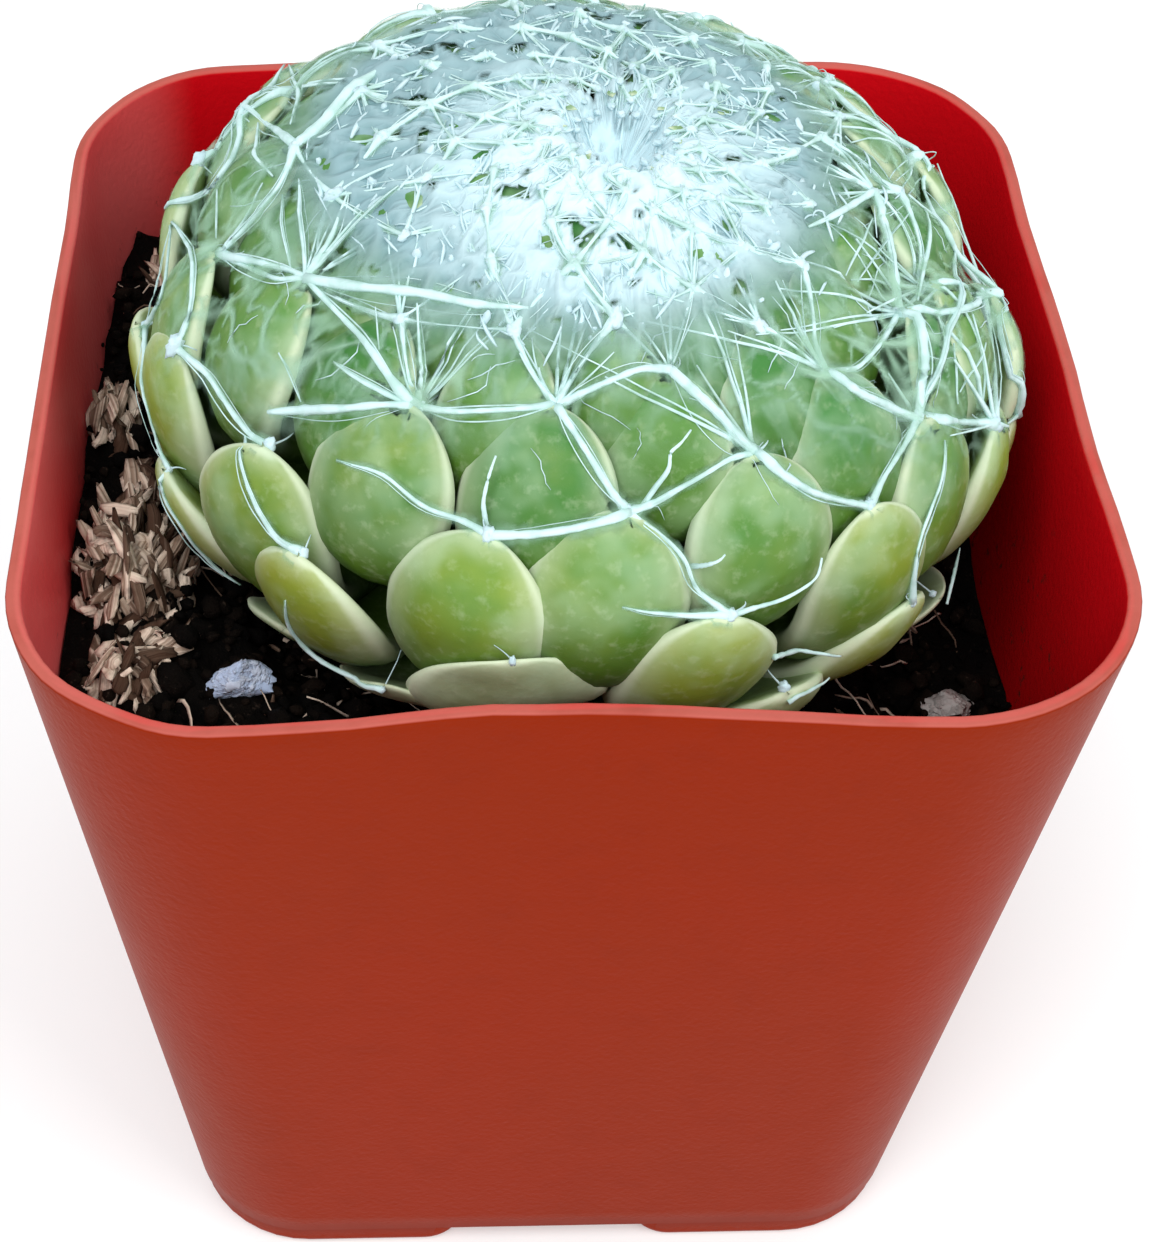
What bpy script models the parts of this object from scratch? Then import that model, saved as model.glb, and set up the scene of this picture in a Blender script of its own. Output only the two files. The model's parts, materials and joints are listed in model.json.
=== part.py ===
"""A cobweb houseleek in a small square nursery pot.

The pot is a thin tapered shell on four corner feet, filled with a dished, crumbly potting mix.
The plant is one globe-shaped rosette of thick leaves on a short rooted stem. Its leaf tips follow
a golden-angle spiral over a flattened dome, and a net of white threads runs from tip to tip.
All sizes are in metres. The origin is the centre of the pot's footprint, +Z is up and the front
of the pot faces -Y.
"""

import math
import random

import bmesh
import bpy
from mathutils import Matrix, Vector

MM = 0.001
CLEARANCE = 0.3 * MM  # what touching pieces keep between them

# Pot
RIM_WIDTH = 54.0 * MM
BASE_WIDTH = 43.4 * MM
POT_HEIGHT = 54.0 * MM
RIM_CORNER = 10.0 * MM
BASE_CORNER = 7.0 * MM
WALL = 0.75 * MM
FLOOR = 1.2 * MM
FOOT_HEIGHT = 1.8 * MM
FOOT_CORNER = 2.4 * MM
FOOT_ROUND = 0.8 * MM  # rounding of a foot's lower edge
FOOT_SINK = 0.4 * MM  # how far a foot reaches into the floor that it is moulded to
CHANNEL_WIDTH = 10.2 * MM  # the gap between two feet, seen from the side
FOOT_STEPS = 4
LIP_ROUND = 0.2 * MM
FRONT_BOW = 1.1 * MM  # how far the thin front wall leans in at the middle of its rim
DRAIN_RADIUS = 2.0 * MM
DRAIN_REACH = 13.0 * MM  # from the pot's axis to each outer drain hole
CORNER_STEPS = 6
SIDE_STEPS = 6

# Potting mix
SOIL_MIDDLE = 39.0 * MM  # height of the mix under the plant
SOIL_WALL = 42.0 * MM  # mean height of the mix where it meets the pot
SOIL_LEAN = 5.0 * MM  # how much higher it lies at the left wall, and lower at the right
SOIL_LEAN_TURN = math.radians(188)  # azimuth of its highest side
DISH_START = 12.5 * MM
DISH_END = 25.0 * MM
CRUMB_HEIGHT = 0.9 * MM
SOIL_RINGS = 9

# Bits in the mix: name, place, size, turns about Z, X and Y in degrees
CHIP_RAISE = 0.5 * MM
CHIP_CORNERS = [
    *((x, y, z) for x in (-0.9, 0.9) for y in (-0.8, 0.8) for z in (-0.8, 0.8)),
    (-1, 0.1, 0),
    (1, -0.1, 0),
    (0.1, 0, 1),
    (-0.1, 0.1, -1),
]
BARK_CHIPS = (
    ("bark_chip_1", (-21.6 * MM, -9.2 * MM), (5.4 * MM, 3.6 * MM, 2.2 * MM), (62, 20, -10)),
    ("bark_chip_2", (-21.0 * MM, -14.8 * MM), (5.0 * MM, 3.2 * MM, 1.8 * MM), (20, -14, 12)),
    ("bark_chip_3", (-22.2 * MM, -2.6 * MM), (4.4 * MM, 3.0 * MM, 2.0 * MM), (100, 12, 14)),
    ("bark_chip_4", (-22.4 * MM, 5.4 * MM), (4.0 * MM, 2.6 * MM, 1.8 * MM), (80, -16, 8)),
    ("bark_chip_5", (-21.8 * MM, 17.0 * MM), (4.2 * MM, 2.6 * MM, 1.6 * MM), (110, 10, -12)),
    ("bark_chip_6", (13.5 * MM, -19.0 * MM), (3.8 * MM, 2.4 * MM, 1.6 * MM), (-25, 12, 8)),
)
PERLITE_GRAINS = (
    ("perlite_grain_1", (21.0 * MM, -12.0 * MM), (3.4 * MM, 2.2 * MM, 1.8 * MM), (35, 10, 25)),
    ("perlite_grain_2", (18.2 * MM, -15.6 * MM), (2.2 * MM, 1.6 * MM, 1.4 * MM), (-20, 20, 0)),
)
FLINT_CHIP = ("flint_chip", (-17.0 * MM, -16.2 * MM), (5.8 * MM, 3.2 * MM, 2.2 * MM), (8, -18, 6))

# Rosette: a flattened dome that the leaf tips lie on
DOME_CENTRE = Vector((0.9 * MM, -0.2 * MM, 53.3 * MM))
DOME_RADIUS = 22.2 * MM
DOME_RISE = 14.4 * MM
DOME_TILT_X = math.radians(3.5)
DOME_TILT_Y = math.radians(5.5)
POLE_STRETCH = 0.82  # the spiral's own roundness against the dome's
DIVERGENCE = math.radians(137.508)
SPIRAL_PHASE = math.radians(33.6)
SPIRAL_START = math.radians(120.7)
SPIRAL_DECAY = 60.8  # leaves in which the angle from the crown shrinks e-fold
FIRST_LEAF = 4
LAST_LEAF = 138
CORE_SHARE = 0.66  # the core's size against the dome's
LEAF_LEAN = math.radians(30)  # how far round the dome a leaf rises to its tip near the crown
UPRIGHT_LEAN = math.radians(20)  # how much farther the outer, upright leaves rise
UPRIGHT_START = math.radians(28)  # angle from the crown where leaves begin to stand upright
UPRIGHT_RANGE = math.radians(34)
LEAF_ROOT = (1.20, math.radians(152), 0.30)  # share of the lean, lowest angle, radius
LEAF_BELLY = (1.05, math.radians(138), 0.95)
LEAF_SHOULDER = (0.42, math.radians(124), 0.98)
LEAF_WIDTH_LIMIT = 9.0 * MM
LEAF_WIDTH_SHARE = 1.36  # leaf width against the distance between tips
LEAF_THICKNESS = 2.4 * MM
THINNEST = 0.9 * MM
OUTER_STATIONS = ((0.16, 0.54, 1.0), (0.44, 0.86, 0.95), (0.72, 1.0, 0.80), (0.93, 0.66, 0.45))
INNER_STATIONS = ((0.14, 0.70, 1.0), (0.80, 1.0, 0.75))  # share of the midrib, width, thickness
OUTER_SECTION = ((-1, 0), (-0.55, -0.36), (0.55, -0.36), (1, 0), (0.5, 0.64), (-0.5, 0.64))
INNER_SECTION = ((-1, 0), (0, -0.4), (1, 0), (0, 0.6))  # across in half widths, back in thicknesses
INNER_LEAF = 78  # the first leaf simple enough for the short form

# Stem and taproot
STEM_TOP = 46.0 * MM
STEM_BOTTOM = 17.0 * MM
STEM_RADIUS = 3.4 * MM
ROOT_RADIUS = 0.9 * MM
STEM_SIDES = 14

# Cobweb
WEB_LIFT = 1.1 * MM  # the net's middle line above the dome
THREAD_RADIUS = 0.36 * MM
TUFT_RADIUS = 0.70 * MM
FIRST_TUFT = 12
LAST_TUFT = 76
NEIGHBOUR_STEPS = (5, 8, 13)
NEIGHBOUR_REACH = 1.10  # longest thread against the distance between tips
CAP_THICKNESS = 0.9 * MM
CAP_ANGLE = math.radians(31)  # from the crown to the ragged edge of the dense wool
CAP_SCALLOP = math.radians(3.2)
CAP_SCALLOPS = 13
CAP_SIDES = 39
CAP_RINGS = 4
CAP_RELIEF = 0.25 * MM

SEED = 7


def material(name, colour, roughness, metallic=0.0):
    """A Principled material with a plain colour."""
    made = bpy.data.materials.new(name)
    made.use_nodes = True
    shader = made.node_tree.nodes["Principled BSDF"]
    shader.inputs["Base Color"].default_value = (*colour, 1.0)
    shader.inputs["Roughness"].default_value = roughness
    shader.inputs["Metallic"].default_value = metallic
    return made


def object_from(name, mesh_builder, finish):
    """Turn a bmesh into a named object with one material."""
    bmesh.ops.recalc_face_normals(mesh_builder, faces=mesh_builder.faces)
    mesh = bpy.data.meshes.new(name)
    mesh_builder.to_mesh(mesh)
    mesh_builder.free()
    made = bpy.data.objects.new(name, mesh)
    bpy.context.scene.collection.objects.link(made)
    made.data.materials.append(finish)
    return made


def loft(rings, closed_ends=True):
    """A bmesh that bridges rings of equal length; a ring of one point closes to a tip."""
    built = bmesh.new()
    loops = [[built.verts.new(point) for point in ring] for ring in rings]
    for lower, upper in zip(loops, loops[1:]):
        count = max(len(lower), len(upper))
        for i in range(count):
            j = (i + 1) % count
            if len(upper) == 1:
                built.faces.new((lower[i], lower[j], upper[0]))
            elif len(lower) == 1:
                built.faces.new((lower[0], upper[j], upper[i]))
            else:
                built.faces.new((lower[i], lower[j], upper[j], upper[i]))
    if closed_ends:
        for ends in (loops[0], loops[-1]):
            if len(ends) > 2:
                built.faces.new(ends)
    return built


def combine(target, others, operation, solver="EXACT"):
    """Apply one Boolean of target with the other objects, and remove them."""
    group = bpy.data.collections.new(target.name + "_tools")
    bpy.context.scene.collection.children.link(group)
    for other in others:
        bpy.context.scene.collection.objects.unlink(other)
        group.objects.link(other)
    modifier = target.modifiers.new("join", "BOOLEAN")
    modifier.operation = operation
    modifier.operand_type = "COLLECTION"
    modifier.collection = group
    modifier.solver = solver
    bpy.context.view_layer.update()
    graph = bpy.context.evaluated_depsgraph_get()
    joined = bpy.data.meshes.new_from_object(target.evaluated_get(graph))
    target.modifiers.clear()
    target.data = joined
    for other in others:
        bpy.data.objects.remove(other)
    bpy.data.collections.remove(group)
    return target


# Pot


def pot_outline(width, corner, height):
    """Points of a rounded square, anticlockwise, its front side bowed in towards the rim."""
    half = width / 2
    inner = half - corner
    points = []
    for quarter in range(4):
        start = quarter * math.pi / 2
        cx = inner * (1 if quarter in (0, 3) else -1)
        cy = inner * (1 if quarter in (0, 1) else -1)
        for step in range(CORNER_STEPS + 1):
            angle = start + step / CORNER_STEPS * math.pi / 2
            points.append(Vector((cx + corner * math.cos(angle), cy + corner * math.sin(angle), height)))
        along = points[-1]
        turn = Matrix.Rotation(start + math.pi, 3, "Z")
        for step in range(1, SIDE_STEPS):
            points.append(along + turn @ Vector((2 * inner * step / SIDE_STEPS, 0, 0)))
    bow = FRONT_BOW * (height / POT_HEIGHT) ** 2
    for point in points:
        if point.y < -inner:
            point.y += bow * max(0.0, 1 - (point.x / inner) ** 2) ** 2
    return points


def pot_width(height):
    """Outside width of the pot at a height."""
    return BASE_WIDTH + (RIM_WIDTH - BASE_WIDTH) * height / POT_HEIGHT


def pot_corner(height):
    """Outside corner radius of the pot at a height."""
    return BASE_CORNER + (RIM_CORNER - BASE_CORNER) * height / POT_HEIGHT


def pot_ring(height, inset):
    """The pot's outline at a height, moved in by an inset."""
    return pot_outline(pot_width(height) - 2 * inset, pot_corner(height) - inset, height)


def foot(x_sign, y_sign, finish):
    """One corner foot: a pad with its outer corner on the pot's and a rounded underside."""
    inner, outer = CHANNEL_WIDTH / 2, BASE_WIDTH / 2
    profile = (
        (0.0, FOOT_ROUND),
        (FOOT_ROUND * 0.3, FOOT_ROUND * 0.3),
        (FOOT_ROUND, 0.0),
        (FOOT_HEIGHT + FOOT_SINK, 0.0),
    )
    rings = []
    for height, inset in profile:
        low, high = inner + inset, outer - inset
        centres = (
            (high, high, max(BASE_CORNER - inset, FOOT_CORNER), 0),
            (low, high, FOOT_CORNER, 90),
            (low, low, FOOT_CORNER, 180),
            (high, low, FOOT_CORNER, 270),
        )
        ring = []
        for x, y, radius, start in centres:
            cx = x - radius if x == high else x + radius
            cy = y - radius if y == high else y + radius
            for step in range(FOOT_STEPS + 1):
                angle = math.radians(start + 90 * step / FOOT_STEPS)
                offset = Vector((math.cos(angle), math.sin(angle), 0)) * radius
                spot = Vector((cx, cy, height)) + offset
                ring.append(Vector((spot.x * x_sign, spot.y * y_sign, spot.z)))
        rings.append(ring)
    return object_from("foot", loft(rings), finish)


def drain_cutter(x, y, finish):
    """A cylinder that cuts one drain hole through the floor."""
    built = bmesh.new()
    bmesh.ops.create_cone(
        built, cap_ends=True, segments=16, radius1=DRAIN_RADIUS, radius2=DRAIN_RADIUS, depth=4 * FLOOR
    )
    bmesh.ops.translate(built, verts=built.verts, vec=(x, y, FOOT_HEIGHT + FLOOR / 2))
    return object_from("drain", built, finish)


def build_pot(finish):
    """The moulded shell, its four feet and its drain holes, as one piece."""
    floor_top = FOOT_HEIGHT + FLOOR
    middle = POT_HEIGHT * 0.55
    upper = POT_HEIGHT * 0.82
    rings = [
        pot_ring(FOOT_HEIGHT, 0.0),
        pot_ring(middle, 0.0),
        pot_ring(upper, 0.0),
        pot_ring(POT_HEIGHT - LIP_ROUND, 0.0),
        pot_ring(POT_HEIGHT, LIP_ROUND),
        pot_ring(POT_HEIGHT, WALL - LIP_ROUND),
        pot_ring(POT_HEIGHT - LIP_ROUND, WALL),
        pot_ring(upper, WALL),
        pot_ring(middle, WALL),
        pot_ring(floor_top + WALL, WALL),
        pot_ring(floor_top, 2 * WALL),
    ]
    pot = object_from("pot", loft(rings), finish)
    feet = [foot(x, y, finish) for x in (1, -1) for y in (1, -1)]
    combine(pot, feet, "UNION")
    spots = [(0.0, 0.0)]
    for turn in range(4):
        angle = turn * math.pi / 2
        spots.append((DRAIN_REACH * math.cos(angle), DRAIN_REACH * math.sin(angle)))
    combine(pot, [drain_cutter(x, y, finish) for x, y in spots], "DIFFERENCE")
    pot.data.shade_smooth()
    pot.data.set_sharp_from_angle(angle=math.radians(35))
    return pot


# Potting mix


def crumbs(x, y):
    """Height of the mix's crumbly relief at a place, between about -1 and 1."""
    fine = math.sin(1100 * x + 2.1 * math.sin(760 * y)) * math.sin(1240 * y + 1.7 * math.sin(830 * x))
    coarse = math.sin(520 * x + 1.3) * math.sin(610 * y + 0.4)
    return 0.6 * fine + 0.4 * coarse


def soil_height(x, y):
    """Height of the mix's surface: a dish under the plant, banked up against the left wall."""
    reach = math.hypot(x, y)
    rise = min(max((reach - DISH_START) / (DISH_END - DISH_START), 0.0), 1.0)
    rise = rise * rise * (3 - 2 * rise)
    wall = SOIL_WALL + SOIL_LEAN * math.cos(math.atan2(y, x) - SOIL_LEAN_TURN)
    relief = CRUMB_HEIGHT * crumbs(x, y) * (0.25 + 0.75 * rise)
    return SOIL_MIDDLE + (wall - SOIL_MIDDLE) * rise + relief


def build_soil(finish):
    """The mix that fills the pot, with a plain hole for the stem."""
    bottom = FOOT_HEIGHT + FLOOR + CLEARANCE
    gap = WALL + CLEARANCE
    rings = [
        pot_ring(bottom, gap + WALL),
        pot_ring(bottom + WALL, gap),
        pot_ring(POT_HEIGHT * 0.5, gap),
    ]
    for ring in range(SOIL_RINGS):
        share = 1 - ring / SOIL_RINGS
        loop = []
        for place in pot_ring(SOIL_WALL, gap):
            height = soil_height(place.x * share, place.y * share)
            edge = pot_ring_point(place, height, gap) if ring == 0 else place * share
            loop.append(Vector((edge.x, edge.y, height)))
        rings.append(loop)
    rings.append([Vector((0, 0, soil_height(0, 0)))])
    soil = object_from("soil", loft(rings), finish)
    rosette_foot = dome_to_world(Vector((0, 0, 0)))
    hole = stem_solid("stem_hole", CLEARANCE, SOIL_MIDDLE + 6 * MM, rosette_foot, finish)
    dents = [chip(*bit, finish, CLEARANCE) for bit in (*BARK_CHIPS, *PERLITE_GRAINS, FLINT_CHIP)]
    combine(soil, [hole, *dents], "DIFFERENCE")
    return soil


def pot_ring_point(place, height, gap):
    """A place on the pot's inner outline, moved with the wall's taper to another height."""
    scale = (pot_width(height) / 2 - gap) / (pot_width(SOIL_WALL) / 2 - gap)
    return Vector((place.x * scale, place.y * scale, height))


# Bits lying in the mix


def chip(name, place, size, turns, finish, grow=0.0):
    """A rough flake half sunk in the mix, or with grow the dent that it lies in."""
    x, y = place
    draw = random.Random(name)
    spin = (
        Matrix.Rotation(math.radians(turns[0]), 3, "Z")
        @ Matrix.Rotation(math.radians(turns[1]), 3, "X")
        @ Matrix.Rotation(math.radians(turns[2]), 3, "Y")
    )
    centre = Vector((x, y, soil_height(x, y) + CHIP_RAISE))
    built = bmesh.new()
    for sx, sy, sz in CHIP_CORNERS:
        corner = Vector(
            (
                sx * (size[0] / 2 * draw.uniform(0.6, 1.0) + grow),
                sy * (size[1] / 2 * draw.uniform(0.6, 1.0) + grow),
                sz * (size[2] / 2 * draw.uniform(0.7, 1.0) + grow),
            )
        )
        built.verts.new(centre + spin @ corner)
    hull = bmesh.ops.convex_hull(built, input=built.verts)
    bmesh.ops.delete(built, geom=hull["geom_interior"], context="VERTS")
    return object_from(name, built, finish)


# Rosette


def dome_to_world(point):
    """From the rosette's own frame to the pot's."""
    turn = Matrix.Rotation(DOME_TILT_X, 3, "X") @ Matrix.Rotation(DOME_TILT_Y, 3, "Y")
    return DOME_CENTRE + turn @ point


def spiral_angle(index):
    """Angle from the crown of a leaf's tip, before the dome flattens it."""
    return SPIRAL_START * math.exp(-index / SPIRAL_DECAY)


def dome_angle(index):
    """Angle from the crown of a leaf's tip on the dome."""
    angle = spiral_angle(index)
    return math.atan2(POLE_STRETCH * math.sin(angle), math.cos(angle))


def azimuth(index):
    """Direction that a leaf grows in."""
    return SPIRAL_PHASE + index * DIVERGENCE


def dome_point(polar, turn, share=1.0, lift=0.0):
    """A point on the dome in its own frame, scaled towards its centre or lifted off it."""
    radius, rise = DOME_RADIUS * share + lift, DOME_RISE * share + lift
    flat = radius * math.sin(polar)
    return Vector((flat * math.cos(turn), flat * math.sin(turn), rise * math.cos(polar)))


def tip_spacing(index):
    """Distance between neighbouring leaf tips at an index."""
    angle = spiral_angle(index)
    step = angle / SPIRAL_DECAY
    return DOME_RADIUS * 0.92 * math.sqrt(2 * math.pi * math.sin(angle) * step)


def leaf_rings(index, draw):
    """Cross-sections of one leaf from the core to its tip, in the pot's frame."""
    turn = azimuth(index) + draw.uniform(-1, 1) * math.radians(1.5)
    polar = dome_angle(index)
    upright = min(max((polar - UPRIGHT_START) / UPRIGHT_RANGE, 0.0), 1.0)
    lean = LEAF_LEAN + UPRIGHT_LEAN * upright
    root, belly, shoulder = (
        dome_point(min(polar + share * lean, lowest), turn, radius)
        for share, lowest, radius in (LEAF_ROOT, LEAF_BELLY, LEAF_SHOULDER)
    )
    tip = dome_point(polar, turn)
    width = min(LEAF_WIDTH_LIMIT, LEAF_WIDTH_SHARE * tip_spacing(index)) * draw.uniform(0.94, 1.06)
    thickness = max(THINNEST, LEAF_THICKNESS * width / LEAF_WIDTH_LIMIT)
    side = Vector((-math.sin(turn), math.cos(turn), 0))
    roll = draw.uniform(-1, 1) * math.radians(7)
    inner = index >= INNER_LEAF
    section = INNER_SECTION if inner else OUTER_SECTION
    rings = []
    for share, wide, thick in INNER_STATIONS if inner else OUTER_STATIONS:
        rest = 1 - share
        middle = root * rest**3 + belly * 3 * share * rest**2 + shoulder * 3 * share**2 * rest + tip * share**3
        along = (belly - root) * rest**2 + (shoulder - belly) * 2 * share * rest + (tip - shoulder) * share**2
        along.normalize()
        across = Matrix.Rotation(roll, 3, along) @ side
        back = across.cross(along)
        half, deep = width * wide / 2, thickness * thick
        rings.append([dome_to_world(middle + across * half * u + back * deep * v) for u, v in section])
    rings.append([dome_to_world(tip)])
    return rings


def build_rosette(finish):
    """The core and every leaf, joined into one plant."""
    built = bmesh.new()
    bmesh.ops.create_uvsphere(built, u_segments=24, v_segments=14, radius=1.0)
    scale = Matrix.Diagonal((DOME_RADIUS * CORE_SHARE, DOME_RADIUS * CORE_SHARE, DOME_RISE * CORE_SHARE))
    for vert in built.verts:
        vert.co = dome_to_world(scale @ vert.co)
    core = object_from("rosette", built, finish)
    draw = random.Random(SEED)
    leaves = [
        object_from("leaf", loft(leaf_rings(index, draw)), finish)
        for index in range(FIRST_LEAF, LAST_LEAF + 1)
    ]
    stem = stem_solid("stem", 0.0, STEM_TOP, dome_to_world(Vector((0, 0, 0))), finish)
    return combine(core, [stem, *leaves], "UNION", "MANIFOLD")


# Stem


def stem_solid(name, grow, top, under, finish):
    """The turned stem and taproot, or with grow the hole that it stands in."""
    profile = (
        (STEM_BOTTOM - grow, ROOT_RADIUS * 0.4),
        (STEM_BOTTOM + 2 * MM, ROOT_RADIUS),
        (STEM_BOTTOM + 0.45 * (STEM_TOP - STEM_BOTTOM), 0.55 * STEM_RADIUS),
        (STEM_BOTTOM + 0.72 * (STEM_TOP - STEM_BOTTOM), 0.92 * STEM_RADIUS),
        (STEM_BOTTOM + 0.90 * (STEM_TOP - STEM_BOTTOM), STEM_RADIUS),
        (top, 0.9 * STEM_RADIUS + (0.1 * STEM_RADIUS if grow else 0.0)),
    )
    rings = []
    for height, radius in profile:
        ring = []
        for step in range(STEM_SIDES):
            angle = 2 * math.pi * step / STEM_SIDES
            reach = radius + grow
            ring.append(Vector((under.x + reach * math.cos(angle), reach * math.sin(angle), height)))
        rings.append(ring)
    return object_from(name, loft(rings), finish)


# Cobweb


def web_point(index):
    """Where a leaf tip's tuft of threads sits."""
    return dome_point(dome_angle(index), azimuth(index), lift=WEB_LIFT)


def thread(start, end, finish):
    """One three-sided thread that follows the dome between two tufts."""
    middle = (start + end) / 2
    flat = Vector((middle.x / (DOME_RADIUS + WEB_LIFT), middle.y / (DOME_RADIUS + WEB_LIFT)))
    level = math.sqrt(flat.length_squared + (middle.z / (DOME_RISE + WEB_LIFT)) ** 2)
    along = (end - start).normalized()
    out = middle.normalized()
    across = along.cross(out).normalized()
    out = across.cross(along)
    rings = []
    for place in (start, middle / level, end):
        ring = []
        for corner in range(3):
            angle = math.radians(90 + 120 * corner)
            offset = across * math.cos(angle) + out * math.sin(angle)
            ring.append(dome_to_world(place + offset * THREAD_RADIUS))
        rings.append(ring)
    return object_from("thread", loft(rings), finish)


def tuft(place, finish):
    """The knot of wool where the threads of one leaf tip meet."""
    built = bmesh.new()
    bmesh.ops.create_uvsphere(built, u_segments=4, v_segments=2, radius=TUFT_RADIUS)
    for vert in built.verts:
        vert.co = dome_to_world(place + vert.co)
    return object_from("tuft", built, finish)


def wool_cap(finish):
    """The dense felt over the crown: a thin bumpy sheet with a scalloped edge."""
    sheets = []
    for lift in (WEB_LIFT - CAP_THICKNESS / 2, WEB_LIFT + CAP_THICKNESS / 2):
        rings = [[dome_to_world(dome_point(0, 0, lift=lift))]]
        for ring in range(1, CAP_RINGS + 1):
            loop = []
            for side in range(CAP_SIDES):
                turn = 2 * math.pi * side / CAP_SIDES
                edge = CAP_ANGLE + CAP_SCALLOP * math.cos(CAP_SCALLOPS * turn) * (ring / CAP_RINGS) ** 2
                bump = CAP_RELIEF * math.sin(5 * turn + 2 * ring) * math.cos(3 * turn + ring)
                angle = edge * ring / CAP_RINGS
                loop.append(dome_to_world(dome_point(angle, turn, lift=lift + bump)))
            rings.append(loop)
        sheets.append(rings)
    under, over = sheets
    return object_from("cap", loft([*under, *reversed(over)], closed_ends=False), finish)


def build_cobweb(finish):
    """The net of threads from tip to tip, as one body just clear of the leaves."""
    pieces = [tuft(web_point(index), finish) for index in range(FIRST_TUFT, LAST_TUFT + 1)]
    for index in range(FIRST_TUFT, LAST_TUFT + 1):
        start = web_point(index)
        for step in NEIGHBOUR_STEPS:
            if index + step > LAST_TUFT:
                continue
            end = web_point(index + step)
            if (end - start).length < NEIGHBOUR_REACH * tip_spacing(index):
                pieces.append(thread(start, end, finish))
    net = wool_cap(finish)
    net.name = "cobweb"
    return combine(net, pieces, "UNION", "MANIFOLD")


def main():
    """Clear the scene and build every piece."""
    for old in list(bpy.data.objects):
        bpy.data.objects.remove(old)
    terracotta_plastic = material("terracotta_plastic", (0.42, 0.055, 0.025), 0.42)
    potting_mix = material("potting_mix", (0.045, 0.028, 0.018), 0.95)
    leaf_green = material("leaf_green", (0.20, 0.38, 0.06), 0.45)
    bark_brown = material("bark_brown", (0.20, 0.12, 0.07), 0.85)
    white_wool = material("white_wool", (0.80, 0.86, 0.84), 0.7)
    pale_perlite = material("pale_perlite", (0.42, 0.40, 0.38), 0.9)
    blue_grey_flint = material("blue_grey_flint", (0.40, 0.46, 0.56), 0.6)
    build_pot(terracotta_plastic)
    build_soil(potting_mix)
    for bit in BARK_CHIPS:
        chip(*bit, bark_brown)
    for bit in PERLITE_GRAINS:
        chip(*bit, pale_perlite)
    chip(*FLINT_CHIP, blue_grey_flint)
    build_rosette(leaf_green)
    build_cobweb(white_wool)


main()
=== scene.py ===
"""Looks of a potted cobweb houseleek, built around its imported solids.

A thin moulded nursery pot, a crumbly potting mix with bark and perlite in it, one rosette of fleshy
leaves on a golden-angle spiral, and the white hairs that the leaf tips spin into ropes, fans and a
felt over the crown. Sizes are in metres, in the frame of the solids.
"""

from __future__ import annotations

import json
import logging
import math
from dataclasses import dataclass, field
from enum import Enum
from typing import Iterable, Sequence, Union

import bpy
import numpy as np
from mathutils import Matrix, Vector, noise
from mathutils.bvhtree import BVHTree

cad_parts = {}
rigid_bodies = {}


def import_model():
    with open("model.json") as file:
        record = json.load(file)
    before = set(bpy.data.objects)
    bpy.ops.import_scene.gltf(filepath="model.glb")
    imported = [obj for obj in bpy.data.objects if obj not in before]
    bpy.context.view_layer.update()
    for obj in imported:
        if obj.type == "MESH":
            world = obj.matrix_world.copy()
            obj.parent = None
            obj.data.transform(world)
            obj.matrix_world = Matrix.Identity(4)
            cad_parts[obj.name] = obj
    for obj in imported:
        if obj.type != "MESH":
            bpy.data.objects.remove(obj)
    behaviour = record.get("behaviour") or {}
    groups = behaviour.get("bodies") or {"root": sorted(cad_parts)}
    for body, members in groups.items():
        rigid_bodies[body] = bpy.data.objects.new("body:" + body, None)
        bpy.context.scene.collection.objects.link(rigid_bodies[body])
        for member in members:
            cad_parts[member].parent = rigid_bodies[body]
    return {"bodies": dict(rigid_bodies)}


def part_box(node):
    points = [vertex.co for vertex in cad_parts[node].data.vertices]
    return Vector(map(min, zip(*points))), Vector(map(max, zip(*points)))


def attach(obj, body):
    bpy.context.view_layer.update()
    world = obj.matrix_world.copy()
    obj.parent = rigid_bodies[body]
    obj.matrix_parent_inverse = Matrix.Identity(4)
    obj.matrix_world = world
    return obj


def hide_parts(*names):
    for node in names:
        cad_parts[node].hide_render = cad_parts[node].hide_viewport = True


MM = 0.001
PHOTO_WIDTH, PHOTO_HEIGHT = 1153, 1242

CROWN = (2.3 * MM, -1.1 * MM, 68.0 * MM)  # where the streaks of the web meet
ANY_TURN = 6.28  # a full turn, for random headings
UP = np.array([0.0, 0.0, 1.0])
BARK_SEED, PERLITE_SEED, FLINT_SEED = 40, 60, 71

log = logging.getLogger("houseleek")

Colour = tuple[float, float, float]
Operand = Union["Wire", float]


# Shader expressions


@dataclass(frozen=True)
class Wire:
    """A node's output, wrapped so that shader maths reads as plain expressions."""

    recipe: "Recipe"
    socket: bpy.types.NodeSocket

    def __add__(self, other: Operand) -> "Wire":
        """Sum of two values."""
        return self.recipe.maths("ADD", self, other)

    def __radd__(self, other: Operand) -> "Wire":
        """Sum of two values, reflected."""
        return self.recipe.maths("ADD", other, self)

    def __sub__(self, other: Operand) -> "Wire":
        """Difference of two values."""
        return self.recipe.maths("SUBTRACT", self, other)

    def __rsub__(self, other: Operand) -> "Wire":
        """Difference of two values, reflected."""
        return self.recipe.maths("SUBTRACT", other, self)

    def __mul__(self, other: Operand) -> "Wire":
        """Product of two values."""
        return self.recipe.maths("MULTIPLY", self, other)

    def __rmul__(self, other: Operand) -> "Wire":
        """Product of two values, reflected."""
        return self.recipe.maths("MULTIPLY", other, self)


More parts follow.
